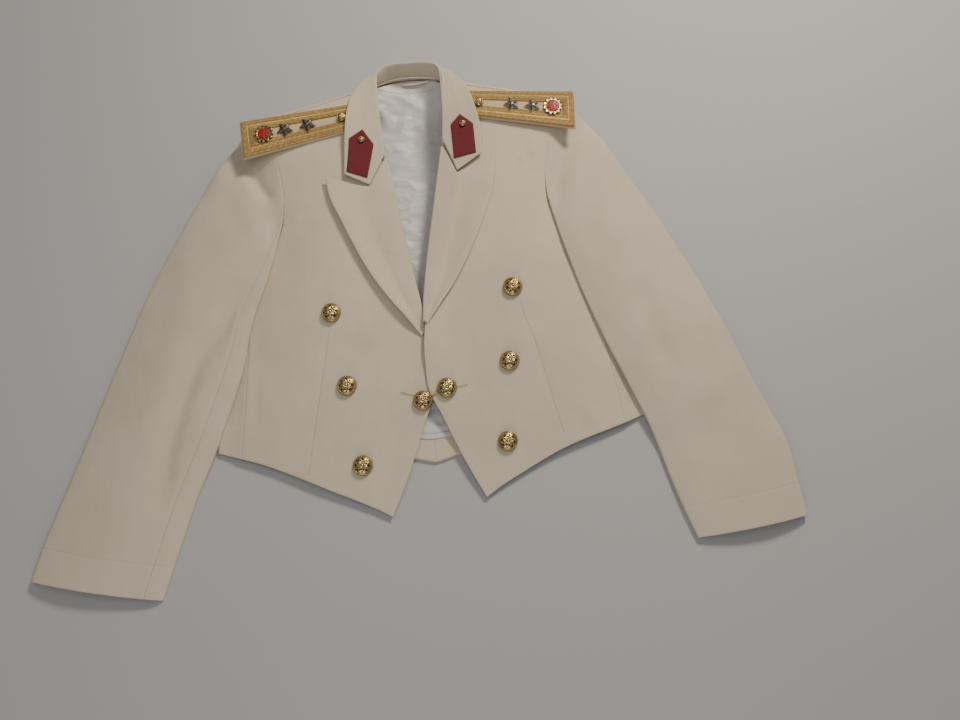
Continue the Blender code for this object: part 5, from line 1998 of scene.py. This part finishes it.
@dataclass(frozen=True)
class ButtonForm:
    """A domed gilt button with a rope rim and a plain eight-petalled rosette."""

    width: float
    height: float
    petals: int = 8
    rope: int = 34
    rope_depth: float = 0.038

    def rise(self, share: Array, turn: Array) -> Array:
        """Height at a share of the radius and a turn round the middle."""
        h = self.height
        dome = h * (0.5 + 0.46 * np.sqrt(np.clip(1 - (share / 0.8) ** 2, 0, 1)))
        rim = h * (0.5 + 0.1 * np.sin(math.pi * np.clip((share - 0.8) / 0.14, 0, 1)))
        rim = rim - h * 0.3 * ease((share - 0.93) / 0.07)
        base = np.where(share < 0.8, dome, rim)
        petal = turn * self.petals / 2
        tip = 0.30 + 0.30 * np.abs(np.cos(petal))
        inside = ease((tip - share) / 0.05) * ease((share - 0.16) / 0.04)
        vein = 1 - 0.45 * bell(np.sin(petal) * share, 0, 0.03)
        leaf = ease((np.abs(np.sin(petal)) - 0.55) / 0.2)
        outer = leaf * ease((share - 0.42) / 0.05) * ease((0.68 - share) / 0.05)
        boss = ease((0.13 - share) / 0.05)
        pearls = crests(turn, self.petals * 4) * bell(share, 0.745, 0.028)
        rope = np.cos(turn * self.rope + share * 30) * bell(share, 0.885, 0.05)
        detail = 0.115 * inside * vein + 0.08 * outer + 0.1 * boss + 0.09 * pearls
        return base + h * (detail - 0.02) + h * self.rope_depth * rope

    def mesh(self, name: str) -> bpy.types.Mesh:
        """The button's mesh."""
        return Relief(name, self.width / 2, self.rise).mesh()


@dataclass(frozen=True)
class RosetteForm:
    """The gilt mount of the strap's rosette and its red enamel flower."""

    width: float = 25.0
    lobes: int = 12
    enamel_width: float = 16.5
    seat_z: float = 0.7

    def mount_rise(self, share: Array, turn: Array) -> Array:
        """Height of the gilt mount: a lobed rim with pearls round a seat."""
        seat = self.enamel_width / self.width
        wall = ease((share - seat * 0.96) / 0.05)
        pearl = crests(turn, self.lobes * 2) * bell(share, 0.75, 0.05)
        ray = crests(turn, self.lobes) * ease((share - 0.8) / 0.08)
        fall = ease((share - 0.93) / 0.07)
        return self.seat_z + 1.1 * wall + 0.45 * pearl + 0.4 * ray - fall

    def enamel_rise(self, share: Array, turn: Array) -> Array:
        """Height of the enamel: six broad petals round a small raised eye."""
        flower = ease((0.52 + 0.36 * crests(turn, 6) - share) / 0.12)
        vein = bell(np.sin(turn * 3) * share, 0, 0.05)
        eye, fall = ease((0.22 - share) / 0.06), ease((share - 0.92) / 0.08)
        return 1.0 + 0.85 * flower * (1 - 0.25 * vein) + 0.35 * eye - 0.5 * fall

    def outline(self, mesh: bpy.types.Mesh) -> bpy.types.Mesh:
        """Pushes the mount's rim out into lobes."""
        for vertex in mesh.vertices:
            x, y = vertex.co.x, vertex.co.y
            share = math.hypot(x, y) / (self.width / 2 * MM)
            reach = 0.055 * float(ease((share - 0.7) / 0.25))
            push = 1 + reach * math.cos(math.atan2(y, x) * self.lobes)
            vertex.co.x *= push
            vertex.co.y *= push
        return mesh


def star_mesh(name: str, width: float, waist: float, rim: float, height: float) -> bpy.types.Mesh:
    """A five-pointed star with a rim, long ridges and a small raised middle.

    Args:
        name: Name of the mesh.
        width: Size over the points.
        waist: Size over the hollows as a share of the width.
        rim: Height of the edge.
        height: Height of the middle.

    Returns:
        The mesh, with its ridges marked in the second UV number for wear and a painted highlight.
    """
    points = []
    for share, middle, rise, mark in (
        (1.0, 0.0, 0.0, (0.3, 0.3)),
        (1.0, 0.0, rim, (0.8, 0.8)),
        (0.86, 0.0, rim * 1.05, (0.1, 0.1)),
        (0.5, 0.0, None, (1.0, 0.1)),
        (0.0, 0.085, height * 0.8, (0.35, 0.35)),
        (0.0, 0.07, height * 1.02, (1.0, 1.0)),
    ):
        for number in range(10):
            hollow, turn = number % 2, math.pi / 2 + math.pi * number / 5
            reach = width / 2 * (waist if hollow else 1) * share + width * middle
            z = height * (0.42 if hollow else 0.72) if rise is None else rise
            points.append((reach * math.cos(turn), reach * math.sin(turn), z, mark[hollow]))
    top = len(points)
    points.append((0.0, 0.0, height * 1.12, 1.0))
    faces = [range(9, -1, -1)]
    for a in range(10):
        b = (a + 1) % 10
        faces += [(low + a, low + b, low + 10 + b, low + 10 + a) for low in range(0, top - 10, 10)]
        faces.append((top - 10 + a, top - 10 + b, top))
    return marked_mesh(name, points, faces)


@dataclass
class Pinned:
    """A small piece set down on a surface, square to it."""

    node: str
    mesh: bpy.types.Mesh
    word: str = "struck"
    finish: Finish = BUTTON_GILT
    slot: str = "gilt_brass"

    def place(self, tree: BVHTree, at: Point, gap: float, spin: float = 0.0) -> None:
        """Sets the piece down.

        Args:
            tree: The surface.
            at: Its place in the laid jacket.
            gap: Space below it.
            spin: Its turn about its own axis, in radians.
        """
        found, normal = set_down(tree, *at)
        square = normal.to_track_quat("Z", "Y").to_matrix().to_4x4()
        place = Vector(LAY.framed(found + normal * gap))
        self.mesh.transform(Matrix.Translation(place) @ square @ Matrix.Rotation(spin, 4, "Z"))
        obj = bpy.data.objects.new(f"{self.node}_{self.word}", self.mesh)
        show(obj, self.finish, self.slot, self.node)


# Straps


@dataclass
class Strap:
    """A stiff shoulder strap with its lace, stars, rosette and button."""

    side: Side
    skew: Point
    inner: Point = (78.0, 464.0)
    outer: Point = (223.0, 450.5)
    drop: float = 1.0
    inner_width: float = 40.0
    outer_width: float = 57.0
    top_z: float = 53.0
    thick: float = 3.2
    crown: float = 2.0
    steps: int = 10
    across_steps: int = 3
    lace_thick: float = 0.9
    lace_margin: float = 1.6
    lace_outer: float = 18.5
    lace_inner: float = 14.0
    lace_end: float = 17.0
    lace_shares: tuple[float, ...] = (0, 0.02, 0.06, 0.14, 0.25, 0.36, 0.44, 0.47)
    seam_gap: float = 0.3
    pin_gap: float = 0.4
    rosette_at: float = 0.79
    stars_at: Point = (0.605, 0.405)
    button_at: float = 0.095
    star_width: float = 23.5

    def half_width(self, along: Array | float) -> Array | float:
        """Half of the strap's width at a share of its length."""
        return between(self.inner_width, self.outer_width, along) / 2

    def point(self, along: Array, across: Array, raised: float = 0.0) -> Array:
        """Points of the strap's top: along it from 0 to 1, and across it from -1 to 1."""
        inner, outer = np.array(self.inner), np.array(self.outer)
        along, across = np.asarray(along, float), np.asarray(across, float)
        run = (outer - inner) / np.linalg.norm(outer - inner)
        off = self.half_width(along) * across
        x = between(inner[0], outer[0], along) - run[1] * off
        y = between(inner[1], outer[1], along) + run[0] * off + between(*self.skew, along)
        z = self.top_z - self.drop * along - self.crown * across**2 + raised
        return np.stack([self.side.value * x, y, z + 0 * x], axis=-1)

    def lace_lines(self) -> tuple[Array, Array]:
        """Outer and inner edge of the lace: up one side, round the outer end and down the other."""
        length = math.dist(self.inner, self.outer)
        stops = even(self.steps) * (1 - self.lace_margin / length)
        half, wide = self.half_width(stops), between(self.lace_inner, self.lace_outer, stops)
        far, near = 1 - self.lace_margin / half, 1 - (self.lace_margin + wide) / half
        turn = 1 - self.lace_end / length
        lines = []
        for along, reach in ((stops, far), (stops * turn / stops[-1], near)):
            up, down = (np.stack([along, edge * reach], axis=-1) for edge in (-1, 1))
            end = [(along[-1], reach[-1] * share) for share in (-0.5, 0.0, 0.5)]
            lines.append(np.concatenate([up, end, down[::-1]]))
        return lines[0], lines[1]

    def lace_surface(self) -> Surface:
        """The lace as two padded bands, with distances that keep its width the same."""
        outer, inner = self.lace_lines()
        last = len(outer) - 1
        corners = (self.steps, self.steps + 4)
        knots = np.arange(last + 1, dtype=float)
        rows = []
        for start, end in ((0, corners[0]), corners, (corners[1], last)):
            rows.append(np.linspace(start, end, 9 * (end - start) + 1)[(1 if start else 0):])
        at = np.concatenate(rows)
        outer, inner = (
            np.stack([np.interp(at, knots, line[:, k]) for k in (0, 1)], axis=-1)[:, None]
            for line in (outer, inner)
        )
        half = np.array(self.lace_shares)
        shares = np.concatenate([half, [0.5], 1 - half[::-1]])
        flat = between(outer, inner, shares[None, :, None])
        points = self.point(flat[..., 0], flat[..., 1], self.lace_thick + self.seam_gap)
        pad = np.abs(np.sin(2 * math.pi * shares)) ** 0.6 * 0.45 + bell(shares, 0.5, 0.02) * 0.3
        points[..., 2] += pad[None, :] - 0.25
        run = lengths(points[:, 8])
        across = np.repeat(shares[None, :], len(points), axis=0) * STRAP_LACE.width / MM
        along = np.repeat(run[:, None], len(shares), axis=1)
        return Surface(LAY.settled(points), across, along)

    def build(self) -> None:
        """Makes and dresses the strap and all that is pinned on it."""
        word, left = self.side.word, self.side is Side.LEFT
        along = even(self.steps)[:, None]
        across = np.linspace(-1, 1, 2 * self.across_steps + 1)[None, :]
        board = ClothPiece(
            f"strap_{word}",
            LAY.settled(self.point(along + 0 * across, across + 0 * along)),
            self.thick,
            BOARD_CLOTH,
            slot="ivory_board",
            flip=left,
            spacing=2.5,
            edge_drop=0.8,
            rumpled=False,
            rests_on=(f"front_{word}_cloth",),
        ).build()
        board.dress()
        lace = self.lace_surface()
        obj = lace.walled(f"lace_{word}_bands", self.lace_thick, left)
        show(obj, STRAP_LACE, "gold_lace", f"lace_{word}")
        flat = (STRAP_LACE.width, float(lace.along.max()) * MM)
        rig.sheet(obj, flat=flat, held=Lie.FOLDED.value, rests_on=(f"strap_{word}_cloth",))
        tree = board.surface.tree()
        gap = self.lace_thick + self.seam_gap + self.pin_gap
        spin = math.radians(-95 * self.side.value)
        for number, at in enumerate(self.stars_at, 1):
            node = f"star_{word}_{number}"
            star = star_mesh(node, self.star_width, 0.5, 0.6, 2.6)
            piece = Pinned(node, star, "cut", STAR_BRONZE, "dark_bronze")
            piece.place(tree, self.plan(at), gap, spin)
        form, node, centre = RosetteForm(), f"rosette_{word}", self.plan(self.rosette_at)
        mount = form.outline(Relief(node, form.width / 2, form.mount_rise, 24, 96, 0.97).mesh())
        Pinned(node, mount, "mount").place(tree, centre, gap, spin)
        node = f"enamel_{word}"
        flower = Relief(node, form.enamel_width / 2, form.enamel_rise, 20, 72, 0.97).mesh()
        enamel = Pinned(node, flower, "flower", RED_ENAMEL, "red_enamel")
        enamel.place(tree, centre, gap + form.seat_z + self.seam_gap, spin)
        node = f"strap_button_{word}"
        button = Pinned(node, ButtonForm(13.0, 5.0, rope=24).mesh(node))
        button.place(tree, self.plan(self.button_at), gap)

    def plan(self, along: float) -> Point:
        """Plan of a place on the strap's middle line, in the laid jacket."""
        x, y, _ = LAY.settled(self.point(along, 0.0))
        return float(x), float(y)


@dataclass
class GorgetPatch:
    """The crimson patch on one end of the collar, with its small button."""

    side: Side
    corners: tuple[Point, ...]
    thick: float = 1.3
    gap: float = 0.5
    button: Point = (67.5, 432)
    button_width: float = 8.6
    button_height: float = 3.6
    pin_gap: float = 0.4

    def grid(self, tree: BVHTree) -> Array:
        """Coarse grid of the patch's right side, on the collar's surface."""
        point, high_in, low_in, low_out, high_out = (np.array(c, float) for c in self.corners)
        bottom = along_curve([low_in, low_out], even(4), straight=True)
        top = np.array([high_in, (high_in + point) / 2, point, (point + high_out) / 2, high_out])
        inner = along_curve([low_in, high_in], even(6), straight=True)
        outer = along_curve([low_out, high_out], even(6), straight=True)
        flat = patch_between(bottom, top, inner, outer)
        x, y = LAY.lie(flat[..., 0], flat[..., 1], self.side)
        grid = LAY.settled(np.stack([x, y, 0 * x], axis=-1))
        for index in np.ndindex(x.shape):
            found, normal = set_down(tree, *grid[index][:2])
            grid[index] = found + normal * (self.thick + self.gap)
        return grid

    def build(self, tree: BVHTree) -> None:
        """Makes and dresses the patch and its button."""
        word = self.side.word
        piece = ClothPiece(
            f"gorget_patch_{word}",
            self.grid(tree),
            self.thick,
            PATCH_FELT,
            slot="crimson_felt",
            flip=self.side is Side.RIGHT,
            spacing=1.2,
            edge_drop=0.8,
            rumpled=False,
            kink=2,
            kink_share=lambda share: ease((share - 0.3) / 0.4),
            rests_on=("collar_cloth",),
        ).build()
        piece.dress()
        node = f"patch_button_{word}"
        button = Pinned(node, ButtonForm(self.button_width, self.button_height, rope=18).mesh(node))
        button.place(piece.surface.tree(), LAY.spot(self.button, self.side), self.pin_gap)


PATCH_CORNERS = {
    Side.LEFT: ((64.7, 449.7), (51.1, 433.3), (52.3, 384.6), (82, 389.8), (81, 431.7)),
    Side.RIGHT: ((65.5, 444.4), (52.1, 426), (62.5, 380.6), (89, 390.5), (84.1, 434.7)),
}


@dataclass
class Fastenings:
    """Buttons of the fronts, the linked pair and its bar, and the stitched buttonholes."""

    width: float = 25.0
    height: float = 8.5
    places: tuple[Point, ...] = ((116, 204), (102.5, 110), (90, 11))
    link: Point = (15.5, 83)
    link_shift: float = 5.5
    spin: float = 0.4
    link_spin: float = 1.1
    pin_gap: float = 0.4
    holes: tuple[tuple[Side, Point, Point], ...] = (
        (Side.RIGHT, (-36, 88.5), (-20, 83)),
        (Side.LEFT, (30, 88.5), (46, 91)),
    )
    hole_radius: float = 0.8
    hole_points: int = 60
    thread_radius: float = 0.38

    def button(self, node: str, tree: BVHTree, at: Point, spin: float) -> None:
        """Makes one button and sets it down."""
        button = Pinned(node, ButtonForm(self.width, self.height).mesh(node))
        button.place(tree, at, self.pin_gap, spin)

    def build(self, side: Side, tree: BVHTree) -> None:
        """Makes the buttons of one front."""
        for number, at in enumerate(self.places, 1):
            node = f"front_button_{side.word}_{number}"
            self.button(node, tree, LAY.spot(at, side), self.spin * number)
        at = LAY.spot(self.link, side, self.link_shift)
        self.button(f"link_button_{side.word}", tree, at, self.link_spin)

    def dress_link(self, nodes: Mapping[str, bpy.types.Object]) -> None:
        """Gives the bar between the linked buttons its finish."""
        bar = nodes["link_bar"]
        bar.data.materials.clear()
        bar.data.materials.append(PLAIN_GILT.material())

    def buttonhole(self, number: int, start: Point, end: Point, tree: BVHTree) -> None:
        """A worked buttonhole: a ring of thread along a slit."""
        a, b = np.array(start, float), np.array(end, float)
        run = (b - a) / np.linalg.norm(b - a)
        side = np.array([-run[1], run[0]]) * self.hole_radius
        curve = bpy.data.curves.new(f"buttonhole_{number}", "CURVE")
        curve.dimensions = "3D"
        curve.bevel_depth = self.thread_radius * MM
        curve.bevel_resolution = 3
        spline = curve.splines.new("POLY")
        near = side * 0.6
        course = [a + side, b + side, b + near + run, b - near + run]
        course += [b - side, a - side, a - near - run, a + near - run]
        places = along_curve([*course, course[0]], even(self.hole_points)[:-1], straight=True)
        spline.points.add(len(places) - 1)
        spline.use_cyclic_u = True
        for point, (x, y) in zip(spline.points, places):
            found, normal = set_down(tree, x, y)
            point.co = (*LAY.framed(found + normal * self.thread_radius * 0.4), 1.0)
        show(bpy.data.objects.new(f"buttonhole_{number}", curve), HOLE_THREAD, "ivory_cloth")


@dataclass
class Studio:
    """Camera, lights and floor."""

    target: Point = (66.0, 127.0)
    distance: float = 0.935
    elevation: float = 75.0
    azimuth: float = -5.5
    lens: float = 27.19
    floor_size: float = 8.0

    def camera(self) -> None:
        """Looks down on the jacket as the photograph does."""
        lift, turn = math.radians(self.elevation), math.radians(self.azimuth)
        flat = math.cos(lift)
        back = Vector((math.sin(turn) * flat, -math.cos(turn) * flat, math.sin(lift)))
        data = bpy.data.cameras.new("camera")
        data.lens = self.lens
        data.sensor_width = 36.0
        camera = bpy.data.objects.new("camera", data)
        camera.location = Vector(LAY.framed((*self.target, 0.0))) + back * self.distance
        camera.rotation_euler = (-back).to_track_quat("-Z", "Y").to_euler()
        link(camera)
        bpy.context.scene.camera = camera

    def light(
        self, name: str, place: Sequence[float], power: float, size: float, colour: Colour
    ) -> None:
        """Adds a soft lamp that shines on the middle of the jacket.

        Args:
            name: The lamp's name.
            place: Where it stands, in metres.
            power: Its power in watts.
            size: Width of its square face.
            colour: Colour of its light.
        """
        data = bpy.data.lights.new(name, "AREA")
        data.energy = power
        data.size = size
        data.color = colour
        lamp = bpy.data.objects.new(name, data)
        lamp.location = place
        lamp.rotation_euler = (-Vector(place)).to_track_quat("-Z", "Y").to_euler()
        link(lamp)

    def floor(self) -> None:
        """A pale floor just below the jacket."""
        reach = self.floor_size / 2
        corners = [(x * reach, y * reach, 0.0) for x, y in ((-1, -1), (1, -1), (1, 1), (-1, 1))]
        mesh = bpy.data.meshes.new("floor")
        mesh.from_pydata(corners, [], [(0, 1, 2, 3)])
        floor = bpy.data.objects.new("floor", mesh)
        floor.location.z = FLOOR_Z
        link(floor)
        mesh.materials.append(PaleFloor("pale_floor").material())
        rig.stage(floor)

    def build(self) -> None:
        """Sets the studio up."""
        self.camera()
        self.floor()
        self.light("key", (0.78, 1.05, 1.17), 23.0, 0.35, (1.0, 0.9, 0.76))
        self.light("fill", (-0.2, -1.7, 0.5), 8.0, 1.0, (1.0, 0.95, 0.9))
        self.light("above", (-0.1, 0.05, 1.15), 2.2, 0.7, (1.0, 0.93, 0.84))
        world = bpy.data.worlds.new("studio")
        world.use_nodes = True
        world.node_tree.nodes["Background"].inputs["Color"].default_value = (0.82, 0.86, 0.92, 1.0)
        world.node_tree.nodes["Background"].inputs["Strength"].default_value = 0.21
        bpy.context.scene.world = world


@dataclass
class MessJacket:
    """The whole jacket."""

    body: Body = field(default_factory=Body)
    sleeves: tuple[Sleeve, ...] = (LEFT_SLEEVE, RIGHT_SLEEVE)

    def head(self, angle: float) -> tuple[float, float, float]:
        """A point where the back meets the sleeve head."""
        return LEFT_SLEEVE.curve(LEFT_SLEEVE.rows[0], 0.0, angle)

    def build(self, nodes: Mapping[str, bpy.types.Object]) -> None:
        """Builds and dresses every piece.

        Args:
            nodes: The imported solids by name.
        """
        Lining(self.body).build()
        fastenings = Fastenings()
        fronts = {}
        for side in Side:
            self.body.back(side, self.head).build().dress()
            self.body.side_body(side).build().dress()
            front = self.body.front(side).build()
            front.dress()
            fronts[side] = front.surface.tree()
            Lapel(side, self.body, *LAPEL_FORMS[side]).piece().build().dress()
            fastenings.build(side, fronts[side])
            Strap(side, (6.9, -2.5) if side is Side.LEFT else (0.9, -6.7)).build()
        for sleeve in self.sleeves:
            sleeve.build()
        collar = Collar(self.body).piece().build()
        collar.dress()
        tree = collar.surface.tree()
        for side in Side:
            GorgetPatch(side, PATCH_CORNERS[side]).build(tree)
        fastenings.dress_link(nodes)
        for number, (side, start, end) in enumerate(fastenings.holes, 1):
            fastenings.buttonhole(number, start, end, fronts[side])


def plain(box: Sequence[Sequence[float]]) -> list[list[float]]:
    """A box's corners as plain lists."""
    return [[float(value) for value in corner] for corner in box]


def main() -> None:
    """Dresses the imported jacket, sets up the studio and writes both boxes."""
    logging.basicConfig(level=logging.INFO, format="%(message)s")
    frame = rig.load()
    solid_box = plain(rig.bounds())
    MessJacket().build(frame["nodes"])
    Studio().build()
    bpy.context.view_layer.update()
    with open(SIZE_FILE, "w") as file:
        json.dump({"solids": solid_box, "looks": plain(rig.bounds())}, file, indent=1)


if __name__ == "__main__":
    main()
